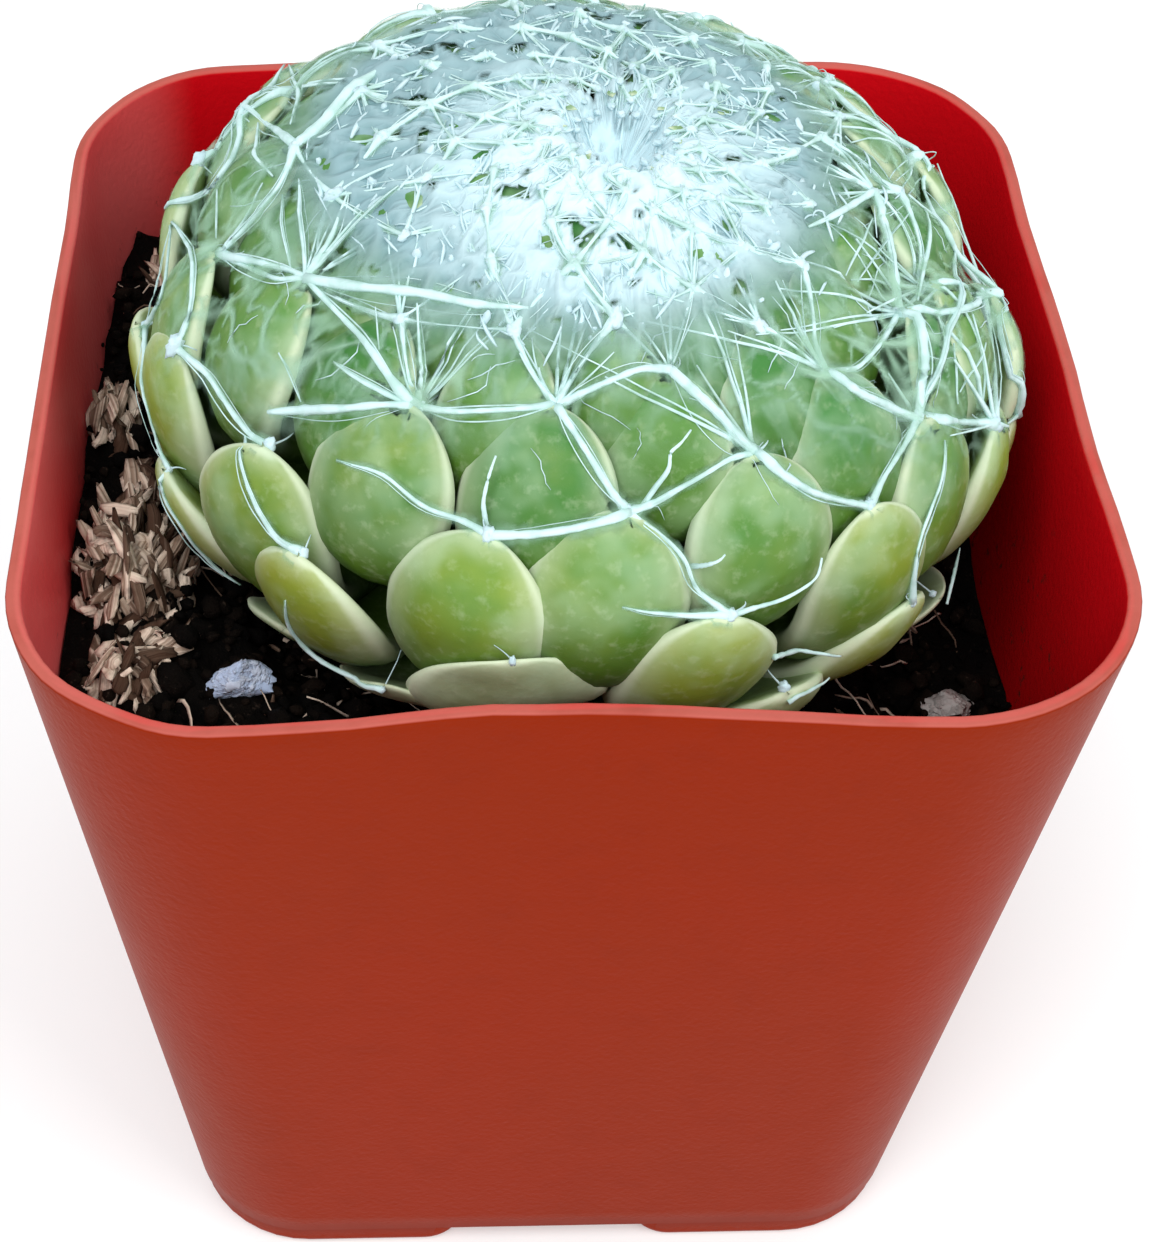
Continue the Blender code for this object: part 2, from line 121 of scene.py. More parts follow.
class Recipe:
    """One material and the few ways in which its nodes are made."""

    def __init__(self, name: str) -> None:
        """Start a Principled material.

        Args:
            name: the material's name.
        """
        self.material = bpy.data.materials.new(name)
        self.material.use_nodes = True
        self.tree = self.material.node_tree
        self.shader = self.tree.nodes["Principled BSDF"]

    def node(self, kind: str, settings: dict | None = None, inputs: dict | None = None) -> bpy.types.Node:
        """Make one node.

        Args:
            kind: the node's type name.
            settings: attributes that are set before its sockets are filled.
            inputs: socket name or number to a value or a wire.

        Returns:
            The new node.
        """
        made = self.tree.nodes.new(kind)
        for key, value in (settings or {}).items():
            setattr(made, key, value)
        for key, value in (inputs or {}).items():
            self.feed(made.inputs[key], value)
        return made

    def feed(self, socket: bpy.types.NodeSocket, value: object) -> None:
        """Link a wire to a socket, or set the socket to a plain value."""
        if isinstance(value, Wire):
            self.tree.links.new(value.socket, socket)
        elif isinstance(value, tuple) and len(value) == 3 and socket.type == "RGBA":
            socket.default_value = (*value, 1.0)
        else:
            socket.default_value = value

    def wire(self, kind: str, output: str | int, settings: dict | None, inputs: dict | None) -> Wire:
        """Make one node and take one of its outputs."""
        return Wire(self, self.node(kind, settings, inputs).outputs[output])

    def maths(self, operation: str, *values: Operand) -> Wire:
        """One Math node's result."""
        return self.wire("ShaderNodeMath", 0, {"operation": operation}, dict(enumerate(values)))

    def vectors(self, operation: str, *values: Wire | Colour) -> Wire:
        """One Vector Math node's result: a vector, or a number for a length."""
        output = "Value" if operation == "LENGTH" else "Vector"
        return self.wire("ShaderNodeVectorMath", output, {"operation": operation}, dict(enumerate(values)))

    def ease(self, value: Wire, low: float, high: float) -> Wire:
        """A smooth step of a value from 0 at low to 1 at high."""
        inputs = {"Value": value, "From Min": low, "From Max": high}
        return self.wire("ShaderNodeMapRange", 0, {"interpolation_type": "SMOOTHSTEP"}, inputs)

    def blend(self, factor: Operand, first: Wire | Colour, second: Wire | Colour) -> Wire:
        """A mix of two colours by a factor."""
        return self.wire("ShaderNodeMix", 2, {"data_type": "RGBA"}, {0: factor, 6: first, 7: second})

    def place(self, stretch: tuple[float, float, float] = (1.0, 1.0, 1.0)) -> Wire:
        """Object coordinates, stretched along the axes."""
        return self.vectors("MULTIPLY", self.wire("ShaderNodeTexCoord", "Object", None, None), stretch)

    def around(self, pole: Colour, turns: float, reach: float) -> Wire:
        """Coordinates that run round a pole and away from it, for streaks that meet there.

        Args:
            pole: where the streaks meet.
            turns: how fast the coordinates change round the pole.
            reach: how fast they change away from it, per metre.

        Returns:
            The coordinates as a vector.
        """
        level = self.vectors("MULTIPLY", self.vectors("SUBTRACT", self.place(), pole), (1.0, 1.0, 0.0))
        east, north, _ = self.parts(self.vectors("NORMALIZE", level))
        inputs = {0: east * turns, 1: north * turns, 2: self.vectors("LENGTH", level) * reach}
        return self.wire("ShaderNodeCombineXYZ", 0, None, inputs)

    def lines(self, value: Wire, width: float) -> Wire:
        """Thin lines where noise crosses its middle value."""
        off = self.maths("ABSOLUTE", value - 0.5)
        return 1.0 - self.ease(off, 0.0, width)

    def parts(self, vector: Wire) -> tuple[Wire, Wire, Wire]:
        """The three numbers of a vector."""
        made = self.node("ShaderNodeSeparateXYZ", None, {0: vector})
        return tuple(Wire(self, out) for out in made.outputs)

    def clouds(self, vector: Wire, scale: float, detail: float, rough: float = 0.5) -> Wire:
        """Noise between 0 and 1."""
        inputs = {"Vector": vector, "Scale": scale, "Detail": detail, "Roughness": rough}
        return self.wire("ShaderNodeTexNoise", "Fac", None, inputs)

    def facing(self) -> Wire:
        """How far a surface faces up."""
        return self.parts(self.wire("ShaderNodeNewGeometry", "Normal", None, None))[2]

    def stored(self, name: str) -> Wire:
        """A number stored on the mesh's points."""
        return self.wire("ShaderNodeAttribute", "Fac", {"attribute_name": name}, None)

    def relief(self, height: Wire, depth: float, strength: float) -> Wire:
        """A bump of a height field, depth in metres."""
        inputs = {"Height": height, "Distance": depth, "Strength": strength}
        return self.wire("ShaderNodeBump", "Normal", None, inputs)

    def finish(self, **sockets: object) -> bpy.types.Material:
        """Fill the Principled sockets by name, with underscores for spaces."""
        for key, value in sockets.items():
            self.feed(self.shader.inputs[key.replace("_", " ")], value)
        return self.material


# Finishes


@dataclass(frozen=True)
class MouldedPlastic:
    """Thin satin polypropylene in terracotta red, with a painted highlight on its lip and painted sheen and
    shade inside.
    """

    outside: Colour = (0.246, 0.0165, 0.0006)
    foot_tint: Colour = (0.228, 0.0185, 0.0015)
    mottled: Colour = (0.170, 0.014, 0.005)
    # Painted light inside the pot: the inner wall runs from a darker colour low down, where the pot shades
    # it, to a brighter one near the rim.
    inside: Colour = (0.46, 0.0030, 0.0050)
    lit_upper_inside: Colour = (0.62, 0.0030, 0.0080)
    # a painted reflection: pale sheen on the left inner wall
    sheen_inside: Colour = (0.80, 0.160, 0.160)
    # a painted highlight on the top of the lip
    lip: Colour = (0.52, 0.125, 0.100)
    soil_stain: Colour = (0.05, 0.02, 0.012)
    roughness: float = 0.40

    def material(self) -> bpy.types.Material:
        """Build the material."""
        made = Recipe("terracotta_plastic")
        where = made.place()
        east, _, height = made.parts(where)
        cloud = made.clouds(where, 45.0, 2.0)
        mottle = made.clouds(where, 420.0, 4.0, 0.6)
        body = made.blend(made.ease(cloud, 0.35, 0.7) * 0.6, self.outside, self.foot_tint)
        body = made.blend(made.ease(mottle, 0.45, 0.8) * 0.16, body, self.mottled)
        inner = made.stored("inside")
        # painted shade and light: the inner wall darker low in the pot and brighter towards the rim
        bare = made.blend(made.ease(height, 0.040, 0.053), self.inside, self.lit_upper_inside)
        # painted reflection: a patchy pale sheen on the left inner wall, which is seen at a grazing angle
        left_wall_sheen = 1.0 - made.ease(east, -0.0250, -0.0205)
        bare = made.blend(left_wall_sheen * made.ease(cloud, 0.2, 0.6) * 0.85, bare, self.sheen_inside)
        body = made.blend(inner, body, bare)
        dirt = made.ease(made.clouds(where, 900.0, 5.0, 0.7), 0.60, 0.68)
        low = 1.0 - made.ease(height, 0.042, 0.0505)
        body = made.blend(dirt * inner * (low * 0.85 + 0.04), body, self.soil_stain)
        # painted highlight: the up-facing top of the lip is painted a paler salmon, broken into patches by
        # noise
        lip = made.ease(made.facing(), 0.35, 0.9) * made.ease(height, 0.051, 0.052)
        lip_highlight_patches = made.ease(made.clouds(where, 260.0, 3.0), 0.2, 0.6)
        body = made.blend(lip * (lip_highlight_patches * 0.3 + 0.55), body, self.lip)
        grain = made.clouds(where, 2600.0, 2.0)
        ripple = made.clouds(made.place((1.0, 1.0, 0.35)), 120.0, 2.0)
        return made.finish(
            Base_Color=body,
            Roughness=mottle * 0.10 + (self.roughness - 0.05),
            Normal=made.relief(grain * 0.35 + ripple, 0.00018, 0.55),
            Specular_IOR_Level=0.04,
        )


@dataclass(frozen=True)
class PottingMix:
    """Damp peat, near black with brown crumbs and a few pale specks."""

    dark: Colour = (0.0016, 0.0012, 0.0010)
    brown: Colour = (0.010, 0.006, 0.0040)
    speck: Colour = (0.070, 0.048, 0.035)

    def material(self) -> bpy.types.Material:
        """Build the material."""
        made = Recipe("potting_mix")
        where = made.place()
        tint = made.stored("tint")
        coarse = made.clouds(where, 380.0, 5.0, 0.65)
        fine = made.clouds(where, 1900.0, 4.0, 0.7)
        body = made.blend(made.ease(coarse * 0.6 + tint * 0.4, 0.35, 0.75), self.dark, self.brown)
        body = made.blend(made.ease(fine, 0.60, 0.72) * tint, body, self.speck)
        return made.finish(
            Base_Color=body,
            Roughness=1.0 - fine * 0.35,
            Normal=made.relief(fine + coarse, 0.00035, 0.9),
            Specular_IOR_Level=0.06,
        )


@dataclass(frozen=True)
class BarkFibre:
    """Split bark and coir: each splinter in its own brown, with streaks along its grain."""

    dark: Colour = (0.060, 0.030, 0.018)
    tan: Colour = (0.36, 0.245, 0.175)
    pale: Colour = (0.78, 0.64, 0.52)

    def material(self) -> bpy.types.Material:
        """Build the material."""
        made = Recipe("bark_fibre")
        tint, grain = made.stored("tint"), made.stored("grain")
        lined = made.wire("ShaderNodeCombineXYZ", 0, None, {0: grain * 4200.0, 1: tint * 60.0})
        streak = made.clouds(lined, 1.0, 3.0, 0.6)
        stain = made.clouds(made.place(), 900.0, 3.0, 0.6)
        body = made.blend(made.ease(tint * 0.8 + streak * 0.5, 0.25, 0.85), self.dark, self.tan)
        body = made.blend(made.ease(tint * 0.5 + streak, 0.62, 0.98), body, self.pale)
        body = made.blend(made.ease(stain, 0.50, 0.72) * 0.6, body, self.dark)
        return made.finish(
            Base_Color=body,
            Roughness=0.82,
            Normal=made.relief(streak + stain * 0.5, 0.0003, 0.9),
            Specular_IOR_Level=0.15,
        )


@dataclass(frozen=True)
class MineralGrain:
    """A rough mineral bit in one colour with darker pores."""

    name: str
    colour: Colour
    pore: Colour
    roughness: float
    dust: Colour = (0.10, 0.07, 0.05)

    def material(self) -> bpy.types.Material:
        """Build the material."""
        made = Recipe(self.name)
        where = made.place()
        pores = made.ease(made.clouds(where, 1600.0, 4.0, 0.6), 0.45, 0.62)
        dust = made.ease(made.clouds(where, 500.0, 3.0), 0.45, 0.7)
        body = made.blend(pores * 0.5, self.colour, self.pore)
        body = made.blend(dust * 0.45, body, self.dust)
        return made.finish(
            Base_Color=body, Roughness=self.roughness, Normal=made.relief(pores, 0.0002, 0.7)
        )


@dataclass(frozen=True)
class LeafSkin:
    """Smooth fleshy leaf: yellow-green outside, deeper green inside, painted shade at its base, paler
    margins partly a painted highlight, webbed haze.
    """

    old: Colour = (0.270, 0.345, 0.040)
    young: Colour = (0.045, 0.200, 0.040)
    fresh: Colour = (0.20, 0.36, 0.06)
    # painted shade towards each leaf's base, deep in the rosette
    base: Colour = (0.070, 0.150, 0.014)
    # colour of the pale margins, which also carries their painted rim highlight, and of small flecks
    margin: Colour = (0.640, 0.730, 0.520)
    haze: Colour = (0.520, 0.720, 0.520)
    papery: Colour = (0.290, 0.360, 0.190)

    def material(self) -> bpy.types.Material:
        """Build the material."""
        made = Recipe("leaf_skin")
        where = made.place()
        age, along, edge, tint = (made.stored(name) for name in ("age", "along", "edge", "tint"))
        cloud = made.clouds(where, 260.0, 3.0, 0.55)
        fleck = made.clouds(where, 1500.0, 3.0, 0.6)
        body = made.blend(made.ease(age + (cloud - 0.5) * 0.4, 0.06, 0.40), self.old, self.young)
        body = made.blend(made.ease(age, 0.005, 0.02), self.papery, body)
        body = made.blend(made.ease(tint, 0.45, 1.0) * 0.35, body, self.fresh)
        # painted shade: each leaf darkens towards its base
        body = made.blend(1.0 - made.ease(along, 0.34, 0.96), body, self.base)
        # pale margins: partly the leaf's own paler edge, partly a painted rim highlight along the rounded
        # edge
        shine = made.ease(edge, 0.45, 1.0) * 0.34 + made.ease(edge, 0.84, 0.97) * 0.56
        body = made.blend(shine * made.ease(along, 0.20, 0.6), body, self.margin)
        body = made.blend(made.ease(fleck, 0.5, 0.75) * 0.16, body, self.margin)
        film = made.ease(made.clouds(where, 340.0, 2.0, 0.55), 0.42, 0.70)
        webbed = made.ease(age, 0.10, 0.60) * 0.10 + made.ease(along, 0.40, 0.95) * 0.26
        body = made.blend(film * webbed, body, self.haze)
        return made.finish(
            Base_Color=body,
            Roughness=0.40 + film * 0.22,
            Normal=made.relief(fleck * 0.4 + cloud, 0.00022, 0.35),
            Specular_IOR_Level=0.30,
        )


@dataclass(frozen=True)
class WebWool:
    """Cool white hair, brightest in the knots."""

    name: str
    colour: Colour
    shade: Colour
    glow: float = 0.10

    def material(self) -> bpy.types.Material:
        """Build the material."""
        made = Recipe(self.name)
        cloud = made.clouds(made.place(), 900.0, 3.0)
        body = made.blend(made.ease(cloud, 0.40, 0.70), self.colour, self.shade)
        return made.finish(
            Base_Color=body,
            Roughness=0.6,
            Specular_IOR_Level=0.2,
            Emission_Color=body,
            Emission_Strength=self.glow,
        )


@dataclass(frozen=True)
class WebFilm:
    """A milky film of fine hairs that run to the crown, thinning to a streaky haze on the leaves, painted
    paler near the crown's brightest spot.
    """

    strand: Colour = (0.66, 0.84, 0.89)
    between: Colour = (0.59, 0.77, 0.83)
    # painted shade on the felt away from the crown's brightest spot
    outer: Colour = (0.21, 0.35, 0.38)
    deep: Colour = (0.15, 0.27, 0.27)
    pale: Colour = (0.46, 0.70, 0.55)
    haze: Colour = (0.24, 0.46, 0.29)
    glow: float = 0.12

    def material(self) -> bpy.types.Material:
        """Build the material."""
        made = Recipe("web_film")
        veil, core, crest, heart = (made.stored(name) for name in ("veil", "core", "crest", "heart"))
        rays = made.lines(made.clouds(made.around(CROWN, 15.0, 300.0), 1.0, 1.5, 0.5), 0.13)
        cloud = made.clouds(made.place(), 900.0, 2.0, 0.5)
        light = made.maths("MAXIMUM", rays * 0.65, crest)
        # painted light: the felt is painted brighter near the crown's brightest spot and darker away from
        # it, and its strands whiter there
        felt = made.blend(made.ease(heart, 0.0, 0.8), self.outer, self.between)
        felt = made.blend(made.ease(cloud, 0.56, 0.74) * (1.0 - light) * 0.7, felt, self.deep)
        felt = made.blend(light * (heart * 0.6 + 0.20), felt, self.strand)
        body = made.blend(core, made.blend(light * 0.8, self.haze, self.pale), felt)
        return made.finish(
            Base_Color=body,
            Roughness=0.7,
            Alpha=made.maths("MAXIMUM", veil * (light * 0.66 + 0.04), core * veil * 0.96),
            Specular_IOR_Level=0.15,
            Emission_Color=body,
            Emission_Strength=self.glow,
            Normal=made.relief(light + cloud * 0.6, 0.00025, 0.6),
        )


@dataclass(frozen=True)
class StudioFloor:
    """Plain pale floor with a faint glow, so that it stays white beside the red pot."""

    colour: Colour = (0.86, 0.86, 0.86)
    glow: float = 0.16

    def material(self) -> bpy.types.Material:
        """Build the material."""
        made = Recipe("studio_floor")
        return made.finish(
            Base_Color=self.colour, Roughness=0.9, Emission_Color=self.colour, Emission_Strength=self.glow
        )


# Meshes


@dataclass
class MeshPile:
    """Points and faces gathered from many small bodies, with numbers stored on the points."""

    points: list[np.ndarray] = field(default_factory=list)
    quads: list[np.ndarray] = field(default_factory=list)
    tris: list[np.ndarray] = field(default_factory=list)
    numbers: dict[str, list[np.ndarray]] = field(default_factory=dict)
    count: int = 0

    def add(
        self,
        points: np.ndarray,
        quads: np.ndarray | None = None,
        tris: np.ndarray | None = None,
        **numbers: np.ndarray | float,
    ) -> None:
        """Add one body, turned so that its faces look outwards.

        Args:
            points: its points, n by 3.
            quads: its four-sided faces, by its own point numbers.
            tris: its three-sided faces.
            **numbers: a number for each point, or one for all, by name.
        """
        self.points.append(points)
        volume = 0.0
        for faces in (quads, tris):
            for step in range(1, 0 if faces is None else faces.shape[1] - 1):
                a, b, c = (points[faces[:, corner]] - points[0] for corner in (0, step, step + 1))
                volume += float(np.sum(a * np.cross(b, c)))
        for faces, kept in ((quads, self.quads), (tris, self.tris)):
            if faces is not None:
                kept.append((faces if volume >= 0 else faces[:, ::-1]) + self.count)
        for name, value in numbers.items():
            filled = np.broadcast_to(np.asarray(value, dtype=float), (len(points),))
            self.numbers.setdefault(name, []).append(filled)
        self.count += len(points)

    def build(self, name: str, material: bpy.types.Material, smooth: bool = True) -> bpy.types.Object:
        """Turn the pile into an object.

        Args:
            name: the object's name.
            material: its material.
            smooth: shade its faces smooth.

        Returns:
            The new object, linked to the scene.
        """
        points = np.concatenate(self.points)
        quads = np.concatenate(self.quads) if self.quads else np.zeros((0, 4), dtype=int)
        tris = np.concatenate(self.tris) if self.tris else np.zeros((0, 3), dtype=int)
        corners = np.concatenate([quads.ravel(), tris.ravel()])
        sizes = np.concatenate([np.full(len(quads), 4), np.full(len(tris), 3)])
        starts = np.concatenate([[0], np.cumsum(sizes)[:-1]])
        mesh = bpy.data.meshes.new(name)
        mesh.vertices.add(len(points))
        mesh.vertices.foreach_set("co", points.astype(np.float32).ravel())
        mesh.loops.add(len(corners))
        mesh.loops.foreach_set("vertex_index", corners.astype(np.int32))
        mesh.polygons.add(len(sizes))
        mesh.polygons.foreach_set("loop_start", starts.astype(np.int32))
        mesh.update(calc_edges=True)
        mesh.validate()
        for key, values in self.numbers.items():
            layer = mesh.attributes.new(key, "FLOAT", "POINT")
            layer.data.foreach_set("value", np.concatenate(values).astype(np.float32))
        if smooth:
            mesh.shade_smooth()
        mesh.materials.append(material)
        made = bpy.data.objects.new(name, mesh)
        bpy.context.scene.collection.objects.link(made)
        return made


def grid_faces(rows: int, columns: int, closed: bool = True) -> np.ndarray:
    """Quads between consecutive rings of points.

    Args:
        rows: number of rings.
        columns: points in a ring.
        closed: join the last point of each ring to its first.

    Returns:
        Quads as an array, m by 4.
    """
    last = columns if closed else columns - 1
    row, column = np.meshgrid(np.arange(rows - 1), np.arange(last), indexing="ij")
    following = (column + 1) % columns
    low, high = row * columns, (row + 1) * columns
    return np.stack([low + column, low + following, high + following, high + column], -1).reshape(-1, 4)


def unit(vectors: np.ndarray) -> np.ndarray:
    """Vectors scaled to length 1."""
    return vectors / np.maximum(np.linalg.norm(vectors, axis=-1, keepdims=True), 1e-12)


def uphill(way: np.ndarray, pole: np.ndarray = UP) -> np.ndarray:
    """Unit directions that lead over a sphere from places on it towards a pole."""
    return unit(pole - way * (way @ pole)[..., None])


def rounded(marks: np.ndarray, run: np.ndarray, at: np.ndarray) -> np.ndarray:
    """A path through marks, with its corners rounded off.

    Args:
        marks: the marks, k by 3.
        run: how far along the path each mark lies.
        at: how far along it each point of the result lies.

    Returns:
        Points, n by 3.
    """
    path = np.stack([np.interp(at, run, marks[:, axis]) for axis in range(3)], -1)
    for _ in range(3):
        path[1:-1] = (path[:-2] + 2 * path[1:-1] + path[2:]) / 4
    return path


def flat_caps(rings: int, sides: int) -> np.ndarray:
    """Triangles that close the first and the last of some rings."""
    fan = np.stack([np.zeros(sides - 2, dtype=int), np.arange(1, sides - 1), np.arange(2, sides)], -1)
    return np.concatenate([fan[:, ::-1], fan + (rings - 1) * sides])


def add_strands(pile: MeshPile, paths: np.ndarray, radii: np.ndarray, sides: int = 3) -> None:
    """Add closed tubes along many paths with equal numbers of points.

    Args:
        pile: the pile that they go to.
        paths: n by k by 3 points.
        radii: radius at each point, n by k.
        sides: sides of each tube.
    """
    count, steps, _ = paths.shape
    along = unit(np.gradient(paths, axis=1))
    helper = np.where(np.abs(along[..., 2:3]) > 0.8, [1.0, 0.0, 0.0], [0.0, 0.0, 1.0])
    side = unit(np.cross(along, helper))
    lift = np.cross(side, along)
    angles = 2 * math.pi * np.arange(sides) / sides
    turn = np.cos(angles)[:, None] * side[:, :, None, :] + np.sin(angles)[:, None] * lift[:, :, None, :]
    points = (paths[:, :, None, :] + radii[:, :, None, None] * turn).reshape(-1, 3)
    offsets = (np.arange(count) * steps * sides)[:, None, None]
    quads = (grid_faces(steps, sides)[None] + offsets).reshape(-1, 4)
    pile.add(points, quads, (flat_caps(steps, sides)[None] + offsets).reshape(-1, 3))


def cone_caps(rows: int, columns: int) -> np.ndarray:
    """Triangles from the first and last of some rings to two points that follow the rings' own."""
    first = np.arange(columns)
    last, count = (rows - 1) * columns + first, rows * columns
    low = np.stack([np.roll(first, -1), first, np.full(columns, count)], -1)
    high = np.stack([last, np.roll(last, -1), np.full(columns, count + 1)], -1)
    return np.concatenate([low, high])


def ball(rows: int, columns: int) -> tuple[np.ndarray, np.ndarray, np.ndarray]:
    """A unit sphere: its points in rings with the two poles last, its quads and its triangles."""
    polar = np.linspace(0, math.pi, rows + 2)[1:-1, None]
    turn = np.linspace(0, 2 * math.pi, columns, endpoint=False)
    level = np.cos(polar) * np.ones(columns)
    rings = np.stack([np.sin(polar) * np.cos(turn), np.sin(polar) * np.sin(turn), level], -1)
    points = np.concatenate([rings.reshape(-1, 3), [[0.0, 0.0, 1.0], [0.0, 0.0, -1.0]]])
    return points, grid_faces(rows, columns), cone_caps(rows, columns)


def lump(draw: np.random.Generator, size: Sequence[float]) -> tuple[np.ndarray, np.ndarray]:
    """An irregular rough lump: a jittered twenty-sided body.

    Args:
        draw: the random source.
        size: half sizes along its own axes.

    Returns:
        Points and triangles.
    """
    golden = (1 + math.sqrt(5)) / 2
    corners = np.array(
        [(-1, golden, 0), (1, golden, 0), (-1, -golden, 0), (1, -golden, 0)]
        + [(0, -1, golden), (0, 1, golden), (0, -1, -golden), (0, 1, -golden)]
        + [(golden, 0, -1), (golden, 0, 1), (-golden, 0, -1), (-golden, 0, 1)]
    ) / math.hypot(1, golden)
    faces = [(0, 11, 5), (0, 5, 1), (0, 1, 7), (0, 7, 10), (0, 10, 11), (1, 5, 9), (5, 11, 4)]
    faces += [(11, 10, 2), (10, 7, 6), (7, 1, 8), (3, 9, 4), (3, 4, 2), (3, 2, 6), (3, 6, 8)]
    faces += [(3, 8, 9), (4, 9, 5), (2, 4, 11), (6, 2, 10), (8, 6, 7), (9, 8, 1)]
    points = corners * draw.uniform(0.65, 1.2, (12, 1)) * np.asarray(size)
    turn = Matrix.Rotation(draw.uniform(0, ANY_TURN), 3, Vector(draw.normal(size=3)).normalized())
    return points @ np.array(turn).T, np.array(faces)


@dataclass
class Splinter:
    """A split piece of bark: a ragged flat prism with its grain along its length."""

    middle: np.ndarray
    size: tuple[float, float, float]
    heading: float
    tilt: float

    @property
    def lie(self) -> Matrix:
        """Its turn from its own axes."""
        return Matrix.Rotation(self.heading, 3, "Z") @ Matrix.Rotation(-self.tilt, 3, "Y")

    def ends(self) -> tuple[np.ndarray, np.ndarray]:
        """Its two ends."""
        half = np.array(self.lie.col[0]) * self.size[0] / 2
        return self.middle - half, self.middle + half

    def grow(self, pile: MeshPile, draw: np.random.Generator) -> None:
        """Add the piece to a pile, with its shade and its place across the grain."""
        rings, sides = 5, 6
        turn = 2 * math.pi * (np.arange(sides) + draw.uniform(-0.25, 0.25, sides)) / sides
        taper = np.array([[0.5], [0.95], [1.0], [0.85], [0.45]])
        girth = taper * draw.uniform(0.7, 1.15, (rings, sides)) / 2
        level = np.linspace(-0.5, 0.5, rings)[:, None]
        along = level + draw.uniform(-0.10, 0.10, (rings, sides))
        bend = draw.normal(0, 0.12) * self.size[0] * (1 - 4 * level**2)
        own = np.stack(
            [
                along * self.size[0],
                np.cos(turn) * girth * self.size[1] + bend,
                np.sin(turn) * girth * self.size[2],
            ],
            -1,
        ).reshape(-1, 3)
        lie = np.array(self.lie @ Matrix.Rotation(draw.uniform(-1.0, 1.0), 3, "X"))
        grain = own[:, 1] + 0.6 * own[:, 2]
        faces, caps = grid_faces(rings, sides), flat_caps(rings, sides)
        pile.add(self.middle + own @ lie.T, faces, caps, tint=draw.uniform(), grain=grain)


# The pot


@dataclass(frozen=True)
class PotShape:
    """The outline that the pot, its mix and what lies in it share."""

    rim_width: float = 54.0 * MM
    base_width: float = 43.4 * MM
    height: float = 54.0 * MM
    rim_corner: float = 10.0 * MM
    base_corner: float = 7.0 * MM
    wall: float = 0.75 * MM
    front_bow: float = 1.1 * MM
    steps: int = 16

    def ring(self, height: float, inset: float) -> np.ndarray:
        """The outline at a height, moved in by an inset.

        Args:
            height: height above the surface that the pot stands on.
            inset: distance in from the outside.

        Returns:
            Points, n by 3, anticlockwise from the right side.
        """
        share = height / self.height
        half = (self.base_width + (self.rim_width - self.base_width) * share) / 2 - inset
        corner = self.base_corner + (self.rim_corner - self.base_corner) * share - inset
        inner = half - corner
        points = []
        for quarter in range(4):
            start = quarter * math.pi / 2
            diagonal, onward = start + math.pi / 4, start + math.pi
            centre = inner * math.sqrt(2) * np.array([math.cos(diagonal), math.sin(diagonal)])
            angles = start + np.linspace(0, math.pi / 2, self.steps + 1)
            arc = centre + corner * np.stack([np.cos(angles), np.sin(angles)], -1)
            step = np.array([math.cos(onward), math.sin(onward)]) * 2 * inner / self.steps
            side = arc[-1] + np.arange(1, self.steps)[:, None] * step
            points.extend([arc, side])
        flat = np.concatenate(points)
        bow = self.front_bow * share**2
        front = flat[:, 1] < -inner
        lean = np.maximum(0.0, 1 - (flat[:, 0] / inner) ** 2) ** 2
        flat[:, 1] += np.where(front, bow * lean, 0.0)
        return np.column_stack([flat, np.full(len(flat), height)])


